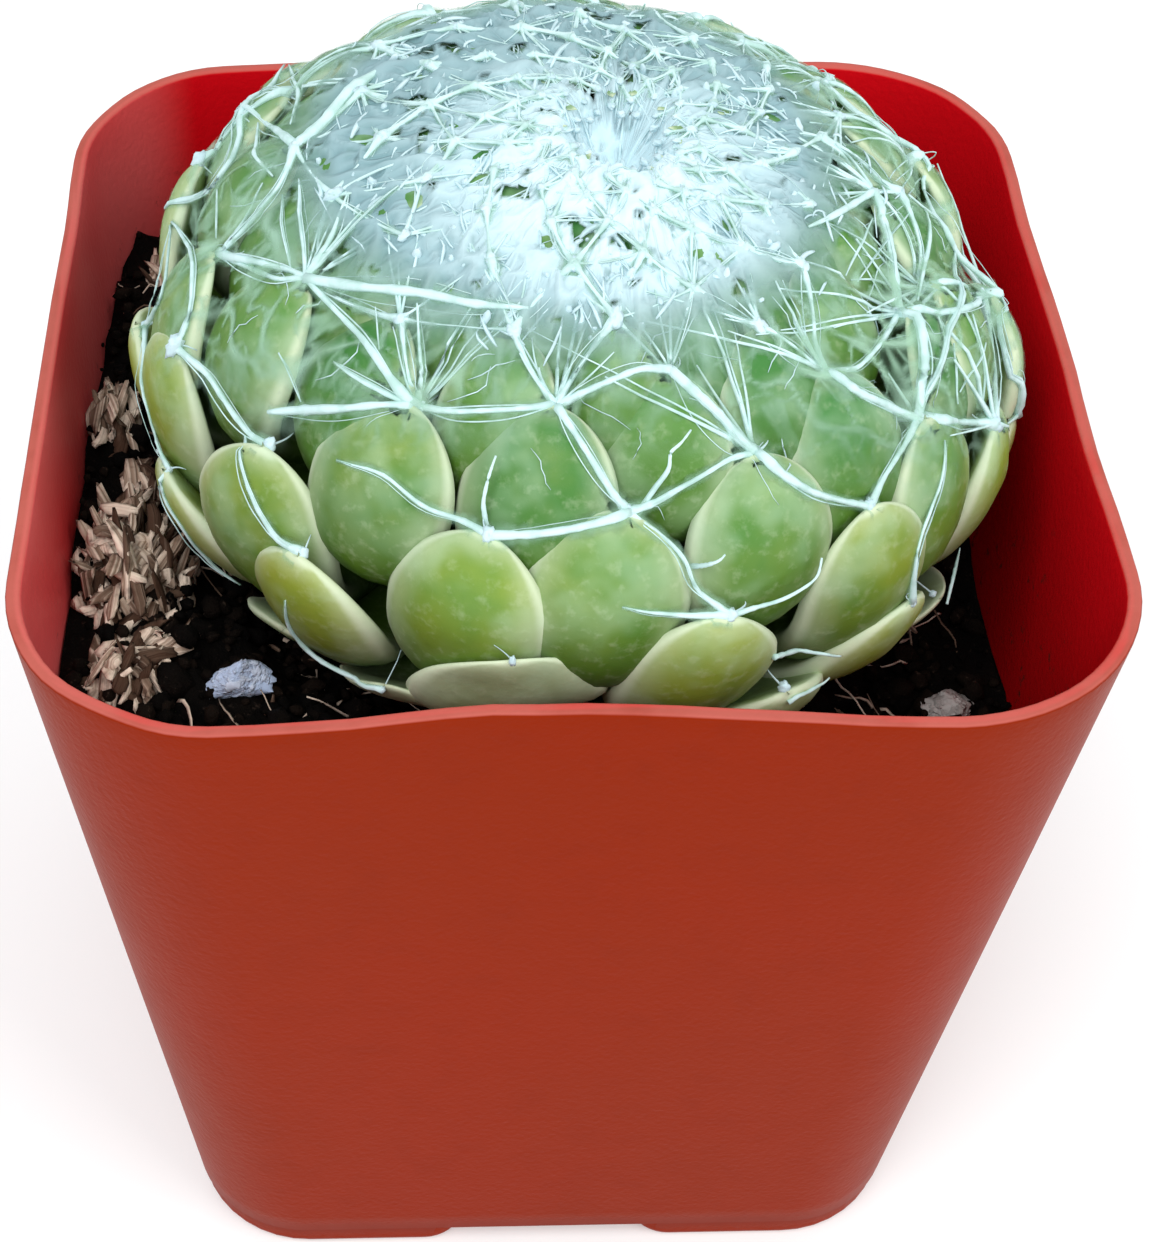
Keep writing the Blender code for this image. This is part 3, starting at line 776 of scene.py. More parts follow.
@dataclass
class Pot:
    """The moulded pot: tapered shell, soft lip, four corner feet and five drain holes."""

    shape: PotShape
    finish: MouldedPlastic = field(default_factory=MouldedPlastic)
    floor: float = 1.2 * MM
    foot_height: float = 1.8 * MM
    foot_corner: float = 2.4 * MM
    foot_round: float = 0.8 * MM
    foot_sink: float = 0.4 * MM
    channel: float = 10.2 * MM
    drain_radius: float = 2.0 * MM
    drain_reach: float = 13.0 * MM
    base_round: float = 0.25 * MM
    lip_round: float = 0.2 * MM

    def build(self) -> list[bpy.types.Object]:
        """Make the pot.

        Returns:
            The pot as one object.
        """
        pot = self.shell()
        self.join(pot, [self.foot(x, y) for x in (1, -1) for y in (1, -1)], "UNION")
        spots = [(0.0, 0.0)]
        for turn in range(4):
            angle = turn * math.pi / 2
            spots.append((self.drain_reach * math.cos(angle), self.drain_reach * math.sin(angle)))
        self.join(pot, [self.drain(x, y) for x, y in spots], "DIFFERENCE")
        self.mark_inside(pot.data)
        pot.data.shade_smooth()
        pot.data.set_sharp_from_angle(angle=math.radians(50))
        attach(pot, "root")
        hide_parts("pot")
        return [pot]

    def shell(self) -> bpy.types.Object:
        """The wall and floor as one closed body with a rounded lip."""
        shape, floor_top = self.shape, self.foot_height + self.floor
        under_lip, steps, round_off = shape.height - 1.4 * MM, 22, self.lip_round
        levels = [(self.foot_height, self.base_round), (self.foot_height + self.base_round, 0.0)]
        levels += [(z, 0.0) for z in np.linspace(self.foot_height + 2 * MM, under_lip, steps)]
        for angle in np.linspace(0, math.pi / 2, 6):
            drop = round_off * (1 - math.sin(angle))
            levels.append((shape.height - drop, round_off * (1 - math.cos(angle))))
        levels.append((shape.height, shape.wall / 2))
        for angle in np.linspace(math.pi / 2, 0, 6):
            drop = round_off * (1 - math.sin(angle))
            levels.append((shape.height - drop, shape.wall - round_off * (1 - math.cos(angle))))
        levels += [(z, shape.wall) for z in np.linspace(under_lip, floor_top + shape.wall, steps)]
        levels += [(floor_top, 2 * shape.wall)]
        rings = [self.settle(shape.ring(height, inset)) for height, inset in levels]
        return self.solid("nursery_pot", rings, self.finish.material())

    def settle(self, ring: np.ndarray) -> np.ndarray:
        """Give a ring the slight unevenness of thin moulded plastic, growing towards the lip."""
        share = (ring[:, 2:3] / self.shape.height) ** 3
        wave = np.array([noise.noise(Vector((p[0], p[1], 0.0)) * 95.0) for p in ring])[:, None]
        dip = np.array([noise.noise(Vector((p[0], p[1], 0.3)) * 240.0) for p in ring])[:, None]
        flat = unit(np.column_stack([ring[:, 0], ring[:, 1], np.zeros(len(ring))]))
        moved = ring - flat * np.maximum(wave, 0.0) * share * 0.35 * MM
        moved[:, 2:3] -= np.maximum(dip, 0.0) * share * 0.25 * MM
        return moved

    def foot(self, x_sign: int, y_sign: int) -> bpy.types.Object:
        """One corner foot with a rounded underside.

        Args:
            x_sign: 1 for the right side, -1 for the left.
            y_sign: 1 for the back, -1 for the front.

        Returns:
            The foot as an object.
        """
        inner, outer, steps = self.channel / 2, self.shape.base_width / 2, 10
        angles = np.linspace(0, math.pi / 2, 7)
        heights = [self.foot_round * (1 - math.cos(angle)) for angle in angles]
        insets = [self.foot_round * (1 - math.sin(angle)) for angle in angles]
        profile = [*zip(heights, insets), (self.foot_height + self.foot_sink, 0.0)]
        rings = []
        for height, inset in profile:
            low, high = inner + inset, outer - inset
            outer_corner = max(self.shape.base_corner - inset, self.foot_corner)
            corners = (
                (high, high, outer_corner, 0),
                (low, high, self.foot_corner, 90),
                (low, low, self.foot_corner, 180),
                (high, low, self.foot_corner, 270),
            )
            ring = []
            for x, y, radius, start in corners:
                cx = x - radius if x == high else x + radius
                cy = y - radius if y == high else y + radius
                angle = np.radians(start + np.linspace(0, 90, steps + 1))
                ring.append(np.stack([cx + radius * np.cos(angle), cy + radius * np.sin(angle)], -1))
            flat = np.concatenate(ring) * np.array([x_sign, y_sign])
            rings.append(np.column_stack([flat, np.full(len(flat), height)]))
        return self.solid("foot", rings)

    def drain(self, x: float, y: float) -> bpy.types.Object:
        """A round cutter for one drain hole."""
        angles = np.linspace(0, 2 * math.pi, 28, endpoint=False)
        flat = self.drain_radius * np.stack([np.cos(angles), np.sin(angles)], -1) + (x, y)
        levels = (self.foot_height - 1 * MM, self.foot_height + self.floor + 1 * MM)
        return self.solid("drain", [np.column_stack([flat, np.full(len(flat), z)]) for z in levels])

    def solid(
        self, name: str, rings: Sequence[np.ndarray], material: bpy.types.Material | None = None
    ) -> bpy.types.Object:
        """A closed body through rings, capped by a point in the middle of each end."""
        points = np.concatenate([*rings, rings[0].mean(0)[None], rings[-1].mean(0)[None]])
        pile = MeshPile()
        rows, columns = len(rings), len(rings[0])
        pile.add(points, grid_faces(rows, columns), cone_caps(rows, columns))
        return pile.build(name, material or bpy.data.materials["terracotta_plastic"])

    def join(self, pot: bpy.types.Object, others: list[bpy.types.Object], operation: str) -> None:
        """Apply a Boolean of the pot with other bodies, and remove them."""
        group = bpy.data.collections.new("pot_tools")
        bpy.context.scene.collection.children.link(group)
        for other in others:
            bpy.context.scene.collection.objects.unlink(other)
            group.objects.link(other)
        modifier = pot.modifiers.new("join", "BOOLEAN")
        modifier.operation = operation
        modifier.operand_type = "COLLECTION"
        modifier.collection = group
        modifier.solver = "EXACT"
        bpy.context.view_layer.update()
        graph = bpy.context.evaluated_depsgraph_get()
        joined = bpy.data.meshes.new_from_object(pot.evaluated_get(graph))
        pot.modifiers.clear()
        pot.data = joined
        for other in others:
            bpy.data.objects.remove(other)
        bpy.data.collections.remove(group)

    def mark_inside(self, mesh: bpy.types.Mesh) -> None:
        """Store which points lie on the inner wall."""
        points = np.empty(len(mesh.vertices) * 3, dtype=np.float32)
        mesh.vertices.foreach_get("co", points)
        points = points.reshape(-1, 3)
        shape = self.shape
        half = (shape.base_width + (shape.rim_width - shape.base_width) * points[:, 2] / shape.height) / 2
        corner = shape.base_corner + (shape.rim_corner - shape.base_corner) * points[:, 2] / shape.height
        past = np.maximum(np.abs(points[:, :2]) - (half - corner)[:, None], 0.0)
        depth = corner - np.hypot(past[:, 0], past[:, 1])
        skin = shape.wall * 0.55
        inside = (depth > skin) & (points[:, 2] > self.foot_height + 0.5 * MM)
        front = (points[:, 1] < 0) & (np.abs(points[:, 0]) < half - corner)
        bow = shape.front_bow * (points[:, 2] / shape.height) ** 2
        lean = bow * np.maximum(0.0, 1 - (points[:, 0] / (half - corner)) ** 2) ** 2
        inside &= ~(front & (depth < skin + lean))
        layer = mesh.attributes.new("inside", "FLOAT", "POINT")
        layer.data.foreach_set("value", inside.astype(np.float32))


# The potting mix


BARK_HEAPS = (  # centre, reach, height in the frame's millimetres, and pieces
    ((-22.4, -8.6), (2.9, 5.0), 2.6, 190),
    ((-22.0, -16.3), (2.0, 1.9), 1.4, 60),
    ((-24.2, 1.6), (1.3, 2.6), 1.3, 34),
    ((-22.2, 16.8), (1.6, 2.2), 0.9, 18),
)


@dataclass
class Soil:
    """The mix: a dished crumbly bed, loose crumbs, coir fibres and bark splinters."""

    shape: PotShape
    finish: PottingMix = field(default_factory=PottingMix)
    middle: float = 39.0 * MM
    wall_height: float = 42.0 * MM
    lean: float = 5.0 * MM
    lean_turn: float = math.radians(188)
    dish_start: float = 12.5 * MM
    dish_end: float = 25.0 * MM
    crumb_height: float = 0.9 * MM
    crumbs: int = 3400
    fibres: int = 170
    slivers: int = 70
    covered: float = 9.0 * MM
    seed: int = 11

    def surface(self, x: float, y: float) -> float:
        """Height of the bed at a place, as in the solids."""
        reach = math.hypot(x, y)
        rise = min(max((reach - self.dish_start) / (self.dish_end - self.dish_start), 0.0), 1.0)
        rise = rise * rise * (3 - 2 * rise)
        wall = self.wall_height + self.lean * math.cos(math.atan2(y, x) - self.lean_turn)
        fine = math.sin(1100 * x + 2.1 * math.sin(760 * y)) * math.sin(1240 * y + 1.7 * math.sin(830 * x))
        coarse = math.sin(520 * x + 1.3) * math.sin(610 * y + 0.4)
        relief = self.crumb_height * (0.6 * fine + 0.4 * coarse) * (0.25 + 0.75 * rise)
        return self.middle + (wall - self.middle) * rise + relief

    def rough(self, x: float, y: float) -> float:
        """Height of the bed with its finer crumbs."""
        spot = Vector((x, y, 0.0))
        lumps = noise.noise(spot * 420.0) * 0.9 + noise.noise(spot * 1100.0) * 0.5
        grit = noise.noise(spot * 2600.0) * 0.22
        return self.surface(x, y) + (lumps + grit) * 0.75 * MM

    def room(self, height: float, margin: float) -> tuple[float, float]:
        """Half width and corner radius of the space inside the pot at a height."""
        shape, share = self.shape, height / self.shape.height
        half = (shape.base_width + (shape.rim_width - shape.base_width) * share) / 2 - shape.wall - margin
        corner = shape.base_corner + (shape.rim_corner - shape.base_corner) * share - shape.wall - margin
        return half, corner

    def fits(self, x: float, y: float, height: float, margin: float) -> bool:
        """Whether a place lies inside the pot's inner wall with a margin."""
        half, corner = self.room(height, margin)
        past_x, past_y = max(abs(x) - half + corner, 0.0), max(abs(y) - half + corner, 0.0)
        return math.hypot(past_x, past_y) < corner and y > -half + self.shape.front_bow

    def build(self) -> list[bpy.types.Object]:
        """Make the mix and all that is loose in it.

        Returns:
            The bed, the crumbs, the fibres and the slivers.
        """
        skin = self.finish.material()
        bark = BarkFibre().material()
        draw = np.random.default_rng(self.seed)
        bed = self.bed().build("potting_bed", skin)
        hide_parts("soil")
        crumbs = self.crumb_pile(draw).build("loose_crumbs", skin, smooth=False)
        fibres = self.fibre_pile(draw).build("coir_fibres", bark)
        slivers = self.sliver_pile(draw).build("bark_slivers", bark, smooth=False)
        for piece in (bed, crumbs, fibres, slivers):
            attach(piece, "root")
        return [bed, crumbs, fibres, slivers]

    def bed(self) -> MeshPile:
        """The filled block with a rough top."""
        pile = MeshPile()
        gap = self.shape.wall + 0.1 * MM
        rings = [self.shape.ring(3.4 * MM, gap + 1 * MM), self.shape.ring(20 * MM, gap)]
        top = self.shape.ring(self.wall_height, gap)
        levels = 46
        for level in range(levels):
            share = 1 - level / levels
            ring = top * np.array([share, share, 1.0])
            heights = [self.rough(x, y) for x, y in ring[:, :2]]
            if level == 0:
                taper = (self.shape.rim_width - self.shape.base_width) / 2 / self.shape.height
                scale = 1 + taper * (np.array(heights) - self.wall_height) / (25 * MM)
                ring[:, :2] *= scale[:, None]
            ring[:, 2] = heights
            rings.append(ring)
        rows, columns = len(rings), len(top)
        points = np.concatenate([*rings, [[0.0, 0.0, 3.4 * MM]], [[0.0, 0.0, self.rough(0.0, 0.0)]]])
        pile.add(points, grid_faces(rows, columns), cone_caps(rows, columns), tint=0.3)
        return pile

    def spot(self, draw: np.random.Generator, margin: float) -> tuple[float, float, float]:
        """A random place on the bed, apart from what the plant covers."""
        half = self.shape.rim_width / 2
        while True:
            x, y = draw.uniform(-half, half, 2)
            height = self.surface(x, y)
            if math.hypot(x, y) > self.covered and self.fits(x, y, height, margin):
                return x, y, height

    def crumb_pile(self, draw: np.random.Generator) -> MeshPile:
        """Loose peat crumbs over the bed."""
        pile = MeshPile()
        for _ in range(self.crumbs):
            size = float(np.clip(draw.lognormal(math.log(0.36), 0.5), 0.16, 1.3)) * MM
            x, y, height = self.spot(draw, size * 0.85)
            points, tris = lump(draw, (size, size * draw.uniform(0.6, 1.0), size * 0.7))
            place = (x, y, height + size * draw.uniform(0.1, 0.9))
            pile.add(points + place, None, tris, tint=draw.uniform())
        return pile

    def fibre_pile(self, draw: np.random.Generator) -> MeshPile:
        """Thin curved coir fibres."""
        pile = MeshPile()
        steps = 7
        paths = np.zeros((self.fibres, steps, 3))
        for row in range(self.fibres):
            x, y, _ = self.spot(draw, 2.4 * MM)
            heading, bend = draw.uniform(0, ANY_TURN), draw.normal(0, 0.25)
            step = draw.uniform(0.35, 0.8) * MM
            for k in range(steps):
                height = self.rough(x, y) + (0.5 + 0.5 * math.sin(k / 2 + row)) * 0.8 * MM
                if not self.fits(x, y, height, 0.4 * MM):
                    step = 0.05 * MM
                paths[row, k] = (x, y, height)
                x, y = x + step * math.cos(heading), y + step * math.sin(heading)
                heading += bend
        radii = np.linspace(0.09, 0.04, steps)[None] * MM * draw.uniform(0.7, 1.5, (self.fibres, 1))
        add_strands(pile, paths, radii)
        pile.numbers["tint"] = [np.repeat(draw.uniform(0.2, 1.0, self.fibres), steps * 3)]
        return pile

    def sliver_pile(self, draw: np.random.Generator) -> MeshPile:
        """Split bark: a few small slivers anywhere, and the heaps against the left wall."""
        pile = MeshPile()
        for _ in range(self.slivers):
            x, y, height = self.spot(draw, 1.2 * MM)
            size = (draw.uniform(0.5, 1.4) * MM, draw.uniform(0.2, 0.45) * MM, 0.2 * MM)
            middle = np.array([x, y, height + 0.4 * MM])
            Splinter(middle, size, draw.uniform(0, ANY_TURN), 0.1).grow(pile, draw)
        for centre, reach, bank, count in BARK_HEAPS:
            made = 0
            while made < count:
                turn, out = draw.uniform(0, ANY_TURN), math.sqrt(draw.uniform())
                x = (centre[0] + reach[0] * out * math.cos(turn)) * MM
                y = (centre[1] + reach[1] * out * math.sin(turn)) * MM
                height = self.rough(x, y) + draw.uniform(-0.1, 1.0) * bank * (1 - out**2) * MM
                length, width = draw.uniform(1.0, 3.1) * MM, draw.uniform(0.45, 1.15) * MM
                piece = Splinter(
                    np.array([x, y, height]),
                    (length, width, width * draw.uniform(0.35, 0.7)),
                    draw.normal(math.pi / 2, 0.6),
                    draw.normal(0.45, 0.45),
                )
                if all(self.fits(*end, width / 2 + 0.15 * MM) for end in piece.ends()):
                    piece.grow(pile, draw)
                    made += 1
        return pile


@dataclass(frozen=True)
class BarkChip:
    """One chunk of split bark, at the place of a solid of the same name."""

    name: str
    turn: float
    splinters: int = 26

    def build(self, material: bpy.types.Material, seed: int) -> list[bpy.types.Object]:
        """Make the chunk as a bundle of splinters in the space of its solid.

        Args:
            material: the bark's material.
            seed: its random seed.

        Returns:
            The chunk as one object.
        """
        low, high = (np.array(corner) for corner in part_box(self.name))
        centre, half = (low + high) / 2, (high - low) / 2
        draw = np.random.default_rng(seed)
        pile = MeshPile()
        for _ in range(self.splinters):
            middle = centre + unit(draw.normal(size=3)) * draw.uniform(0.1, 0.7) * half
            length = draw.uniform(0.45, 1.05) * max(half[0], half[1]) * 1.5
            width = draw.uniform(0.5, 1.3) * MM
            size = (length, width, width * draw.uniform(0.4, 0.8))
            Splinter(middle, size, self.turn + draw.normal(0, 0.4), draw.normal(0.2, 0.3)).grow(pile, draw)
        pile.points = [np.maximum(part, low - 0.3 * MM) for part in pile.points]
        chip = pile.build(self.name + "_splinters", material, smooth=False)
        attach(chip, "root")
        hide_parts(self.name)
        return [chip]


@dataclass(frozen=True)
class MineralChip:
    """A mineral bit that stands for a solid of the same name."""

    name: str
    slot: str
    planes: int = 12
    peak: float = 0.0

    def build(self, material: bpy.types.Material, seed: int) -> list[bpy.types.Object]:
        """Make the bit as a broken lump with facets and pits.

        Args:
            material: its material.
            seed: its random seed.

        Returns:
            The bit as one object.
        """
        low, high = (np.array(corner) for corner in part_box(self.name))
        centre, half = (low + high) / 2, (high - low) / 2
        grid, faces, caps = ball(26, 36)
        draw = np.random.default_rng(seed)
        cuts = unit(draw.normal(size=(self.planes, 3)))
        depth = draw.uniform(0.45, 0.85, self.planes)
        facing = grid @ cuts.T
        reach = np.min(np.where(facing > 0.05, depth / np.maximum(facing, 0.05), 2.0), axis=1)
        reach = np.minimum(reach, 1.0)
        pits = np.array([noise.noise(Vector(p) * 5.0 + Vector((seed, 0, 0))) for p in grid])
        own = grid * (reach + pits * 0.10)[:, None] * 1.04
        rise = (own[:, 2:] + 1) / 2
        own[:, :2] = own[:, :2] * (1 - self.peak * 0.75 * rise) + (self.peak * 0.30, 0.0) * rise
        pile = MeshPile()
        pile.add(centre + own * half, faces, caps)
        chip = pile.build(self.name + "_lump", material)
        chip.data.set_sharp_from_angle(angle=math.radians(38))
        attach(chip, "root")
        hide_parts(self.name)
        return [chip]


# The plant


SEEN_TIPS: dict[int, tuple[int, int]] = {  # a leaf's number, and its tip across and down in pixels
    10: (948, 606), 12: (383, 690), 15: (787, 694), 17: (155, 472), 18: (1024, 413),
    20: (512, 657), 22: (135, 326), 23: (909, 602), 25: (299, 556), 27: (244, 112),
    28: (730, 614), 30: (181, 347), 33: (490, 533), 35: (193, 154), 36: (871, 506),
    38: (261, 449), 39: (1001, 291), 40: (281, 61), 41: (627, 511), 43: (212, 253),
    44: (925, 420), 46: (415, 405), 47: (921, 149), 49: (757, 453), 51: (310, 281),
    54: (556, 405), 55: (827, 80), 56: (303, 154), 57: (823, 372), 60: (864, 199),
    62: (668, 371), 65: (913, 314), 73: (923, 191),
}


@dataclass
class Spiral:
    """Where leaf tips lie: a golden-angle spiral over a flattened, slightly tilted dome."""

    centre: tuple[float, float, float] = (0.9 * MM, -0.2 * MM, 53.3 * MM)
    radius: float = 22.9 * MM
    rise: float = 15.1 * MM
    tilt_x: float = math.radians(3.5)
    tilt_y: float = math.radians(5.5)
    stretch: float = 0.82
    divergence: float = math.radians(137.508)
    phase: float = math.radians(33.6)
    start: float = math.radians(120.7)
    decay: float = 60.8
    count: int = 190
    furthest: float = math.radians(7.5)
    polar: np.ndarray = field(init=False)
    turns: np.ndarray = field(init=False)

    def __post_init__(self) -> None:
        """Lay the tips out on the plain spiral."""
        index = np.arange(self.count)
        angle = self.start * np.exp(-index / self.decay)
        self.polar = np.arctan2(self.stretch * np.sin(angle), np.cos(angle))
        self.turns = self.phase + index * self.divergence

    @property
    def lie(self) -> np.ndarray:
        """The dome's tilt as a matrix."""
        return np.array(Matrix.Rotation(self.tilt_x, 3, "X") @ Matrix.Rotation(self.tilt_y, 3, "Y"))

    def spacing(self, index: np.ndarray | float) -> np.ndarray | float:
        """Distance between neighbouring tips."""
        angle = self.start * np.exp(-np.asarray(index, dtype=float) / self.decay)
        return self.radius * 0.9 * np.sqrt(2 * math.pi * np.sin(angle) * angle / self.decay)

    def direction(self, polar: np.ndarray | float, turn: np.ndarray | float) -> np.ndarray:
        """Unit direction on the round form of the dome."""
        polar, turn = np.broadcast_arrays(np.asarray(polar, float), np.asarray(turn, float))
        return np.stack([np.sin(polar) * np.cos(turn), np.sin(polar) * np.sin(turn), np.cos(polar)], -1)

    def tips(self) -> np.ndarray:
        """Unit directions of all the leaf tips, by number."""
        return self.direction(self.polar, self.turns)

    def place(self, way: np.ndarray, lift: np.ndarray | float = 0.0, share: float = 1.0) -> np.ndarray:
        """Points on the dome for unit directions.

        Args:
            way: unit directions, any shape by 3.
            lift: height above the dome.
            share: scale towards the dome's centre.

        Returns:
            Points in the frame of the solids.
        """
        lift = np.asarray(lift, dtype=float)[..., None]
        flat = way * (np.array([self.radius, self.radius, self.rise]) * share + lift)
        return np.array(self.centre) + flat @ self.lie.T

    def locate(self, points: np.ndarray) -> tuple[np.ndarray, np.ndarray]:
        """Unit directions and heights above the dome for points in the frame of the solids."""
        local = (points - np.array(self.centre)) @ self.lie
        size = np.array([self.radius, self.radius, self.rise])
        lift = np.zeros(local.shape[:-1])
        for _ in range(5):
            scaled = local / (size + lift[..., None])
            reach = np.linalg.norm(scaled, axis=-1)
            slope = np.sum(scaled**2 / (size + lift[..., None]), axis=-1) / np.maximum(reach, 1e-9)
            lift = np.maximum(lift + (reach - 1) / np.maximum(slope, 1e-9), -0.9 * self.rise)
        return unit(local / (size + lift[..., None])), lift

    def settle(self, studio: "Studio") -> None:
        """Move the tips that the photograph shows towards where it shows them.

        Args:
            studio: the studio, whose camera is the photograph's.
        """
        for index, seen in SEEN_TIPS.items():
            first = np.array([self.polar[index], self.turns[index]])
            scale = np.array([1.0, 1 / math.sin(first[0])])
            shift = np.zeros(2)
            for _ in range(8):
                where = first + shift * scale
                here = studio.pixel(self.place(self.direction(*where)))
                slopes = []
                for step in (np.array([0.002, 0.0]), np.array([0.0, 0.002])):
                    there = studio.pixel(self.place(self.direction(*(where + step * scale))))
                    slopes.append((there - here) / 0.002)
                slope = np.stack(slopes, axis=1)
                miss = np.array(seen) - here + slope @ shift
                shift = np.linalg.solve(slope.T @ slope + 8000 * np.eye(2), slope.T @ miss)
                shift *= min(1.0, self.furthest / max(float(np.linalg.norm(shift)), 1e-9))
            self.polar[index], self.turns[index] = first + shift * scale


class LeafForm(Enum):
    """How finely a leaf is modelled: stations along it, and points round its section."""

    OUTER = (30, 20)
    INNER = (13, 10)


@dataclass
class Rosette:
    """All the leaves, the core that they grow from and the short stem."""

    spiral: Spiral
    finish: LeafSkin = field(default_factory=LeafSkin)
    first: int = 4
    last: int = 172
    inner: int = 82
    papery: tuple[int, ...] = (*range(4, 15), 20)
    width_limit: float = 8.0 * MM
    width_share: float = 1.36
    thickness: float = 2.5 * MM
    thinnest: float = 0.5 * MM
    lean_low: float = math.radians(30)
    lean_more: float = math.radians(20)
    core_share: float = 0.62
    oldest: int = 14
    lifetime: float = 110.0
    stem: tuple[tuple[float, float], ...] = (  # height and radius in millimetres
        (42, 3.4), (36, 3.2), (30, 2.6), (24, 1.6), (19, 0.9), (17.2, 0.4),
    )
    seed: int = 7

    def outline(self, along: np.ndarray) -> np.ndarray:
        """Width of a leaf along its length, as a share of its widest."""
        widest = 0.68
        lower = 0.44 + 0.56 * np.sin(math.pi / 2 * np.minimum(along / widest, 1.0)) ** 1.3
        past = np.clip((along - widest) / (1 - widest), 0.0, 1.0)
        return lower * np.maximum(1 - past**2.1, 0.0) ** 0.60

    def midrib(self, index: int, draw: np.random.Generator) -> tuple[np.ndarray, float]:
        """The four control points of a leaf's midrib, from its root to its tip.

        Args:
            index: its number on the spiral.
            draw: the random source.

        Returns:
            The points, 4 by 3, and the leaf's azimuth.
        """
        spiral = self.spiral
        turn, polar = float(spiral.turns[index]), float(spiral.polar[index])
        upright = float(np.clip((polar - math.radians(28)) / math.radians(34), 0, 1))
        lean = (self.lean_low + self.lean_more * upright) * draw.uniform(0.94, 1.08)
        tip = spiral.place(spiral.direction(polar, turn))
        shoulder = min(polar + 0.42 * lean, math.radians(126))
        belly = min(polar + 1.05 * lean, math.radians(140))
        foot = min(polar + 1.2 * lean, math.radians(152))
        points = [
            spiral.place(spiral.direction(foot, turn), share=0.30 + 0.22 * upright),
            spiral.place(spiral.direction(belly, turn), share=0.97 + 0.08 * upright),
            spiral.place(spiral.direction(shoulder, turn + draw.normal(0, 0.03)), share=0.995),
            tip,
        ]
        return np.stack(points), turn

    def leaf(self, index: int, draw: np.random.Generator, form: LeafForm, pile: MeshPile) -> None:
        """Add one leaf.

        Args:
            index: its number on the spiral, the outermost first.
            draw: the random source.
            form: how finely it is modelled.
            pile: the pile that it goes to.
        """
        (root, belly, shoulder, tip), turn = self.midrib(index, draw)
        space = float(self.spiral.spacing(index))
        width = min(self.width_limit, self.width_share * space) * draw.uniform(0.92, 1.06)
        width *= 1.3 if index == max(self.papery) else 1.0
        old = index in self.papery
        thick = max(self.thinnest, self.thickness * width / self.width_limit) * (0.5 if old else 1.0)
        stations, around = form.value
        run = 1 - (1 - np.linspace(0, 1, stations)) ** 1.6
        at = (0.08 + 0.92 * run)[:, None]
        middle = root * (1 - at) ** 3 + 3 * belly * at * (1 - at) ** 2
        middle = middle + 3 * shoulder * at**2 * (1 - at) + tip * at**3
        along = unit(
            (belly - root) * (1 - at) ** 2
            + 2 * (shoulder - belly) * at * (1 - at)
            + (tip - shoulder) * at**2
        )
        side = np.array([-math.sin(turn), math.cos(turn), 0.0])
        roll = draw.normal(0, math.radians(5)) + draw.normal(0, math.radians(5)) * run[:, None]
        across = unit(side - along * (along @ side)[:, None])
        back = np.cross(across, along)
        across, back = (
            across * np.cos(roll) + back * np.sin(roll),
            back * np.cos(roll) - across * np.sin(roll),
        )
        wide = self.outline(run) * width / 2
        end = np.clip((run - 0.70) / 0.30, 0, 1)
        deep = thick * (1 - 0.40 * run**2) * np.maximum(1 - end**2.6, 0.02) ** 0.5
        angles = np.linspace(0, 2 * math.pi, around, endpoint=False)
        x = np.sign(np.cos(angles)) * np.abs(np.cos(angles)) ** 0.85
        y = np.sin(angles)
        outer = np.where(y > 0, 0.62 * np.abs(y) ** 0.9, -0.38 * np.abs(y))
        keel = np.where(y > 0, np.exp(-((x / 0.20) ** 2)), 0.0)
        swell = deep[:, None] * (outer + 0.05 * keel * run[:, None])
        curl = 0.085 * width * (wide[:, None] / (width / 2)) ** 2 * x**2
        points = middle[:, None] + across[:, None] * (wide[:, None] * x)[..., None]
        points = points + back[:, None] * (swell - curl)[..., None]
        rough = (0.55 if old else 0.16) * MM * width / self.width_limit
        wave = np.array([noise.noise(Vector(p) * 230.0) for p in points.reshape(-1, 3)])
        points = points + back[:, None] * (wave.reshape(stations, around) * rough)[..., None]
        point_out = tip + along[-1] * 0.035 * width + back[-1] * 0.01 * width
        grown = np.concatenate([points.reshape(-1, 3), middle[:1], point_out[None]])
        edge = np.concatenate([np.tile(np.abs(x), stations), [0.0, 1.0]])
        far = np.concatenate([np.repeat(run, around), [0.0, 1.0]])
        edge = np.maximum(edge, np.clip((far - 0.84) / 0.16, 0, 1))
        pile.add(
            grown,
            grid_faces(stations, around),
            cone_caps(stations, around),
            along=far,
            edge=edge,
            age=0.0 if old else (index - self.oldest) / self.lifetime,
            tint=draw.uniform(),
        )

    def core(self, pile: MeshPile) -> None:
        """Add the core and the stem that the leaves grow from."""
        rows, columns = 22, 32
        polar = np.linspace(0.02, math.pi - 0.18, rows)
        turn = np.linspace(0, 2 * math.pi, columns, endpoint=False)
        grid = self.spiral.direction(polar[:, None], turn[None])
        points = [self.spiral.place(grid, share=self.core_share).reshape(-1, 3)]
        foot = np.array(self.spiral.centre)
        for height, radius in self.stem:
            ring = np.stack([np.cos(turn), np.sin(turn), np.zeros(columns)], -1) * radius * MM
            points.append(ring + (foot[0], foot[1], height * MM))
        body = np.concatenate(points)
        rings = rows + len(self.stem)
        body = np.concatenate([body, body[:columns].mean(0)[None], body[-columns:].mean(0)[None]])
        faces, caps = grid_faces(rings, columns), cone_caps(rings, columns)
        pile.add(body, faces, caps, along=0.0, edge=0.0, age=0.4, tint=0.2)

    def build(self) -> list[bpy.types.Object]:
        """Make the rosette.

        Returns:
            The rosette as one object.
        """
        draw = np.random.default_rng(self.seed)
        pile = MeshPile()
        self.core(pile)
        for index in range(self.first, self.last):
            self.leaf(index, draw, LeafForm.INNER if index >= self.inner else LeafForm.OUTER, pile)
        rosette = pile.build("houseleek_leaves", self.finish.material())
        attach(rosette, "root")
        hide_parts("rosette")
        return [rosette]


# The cobweb


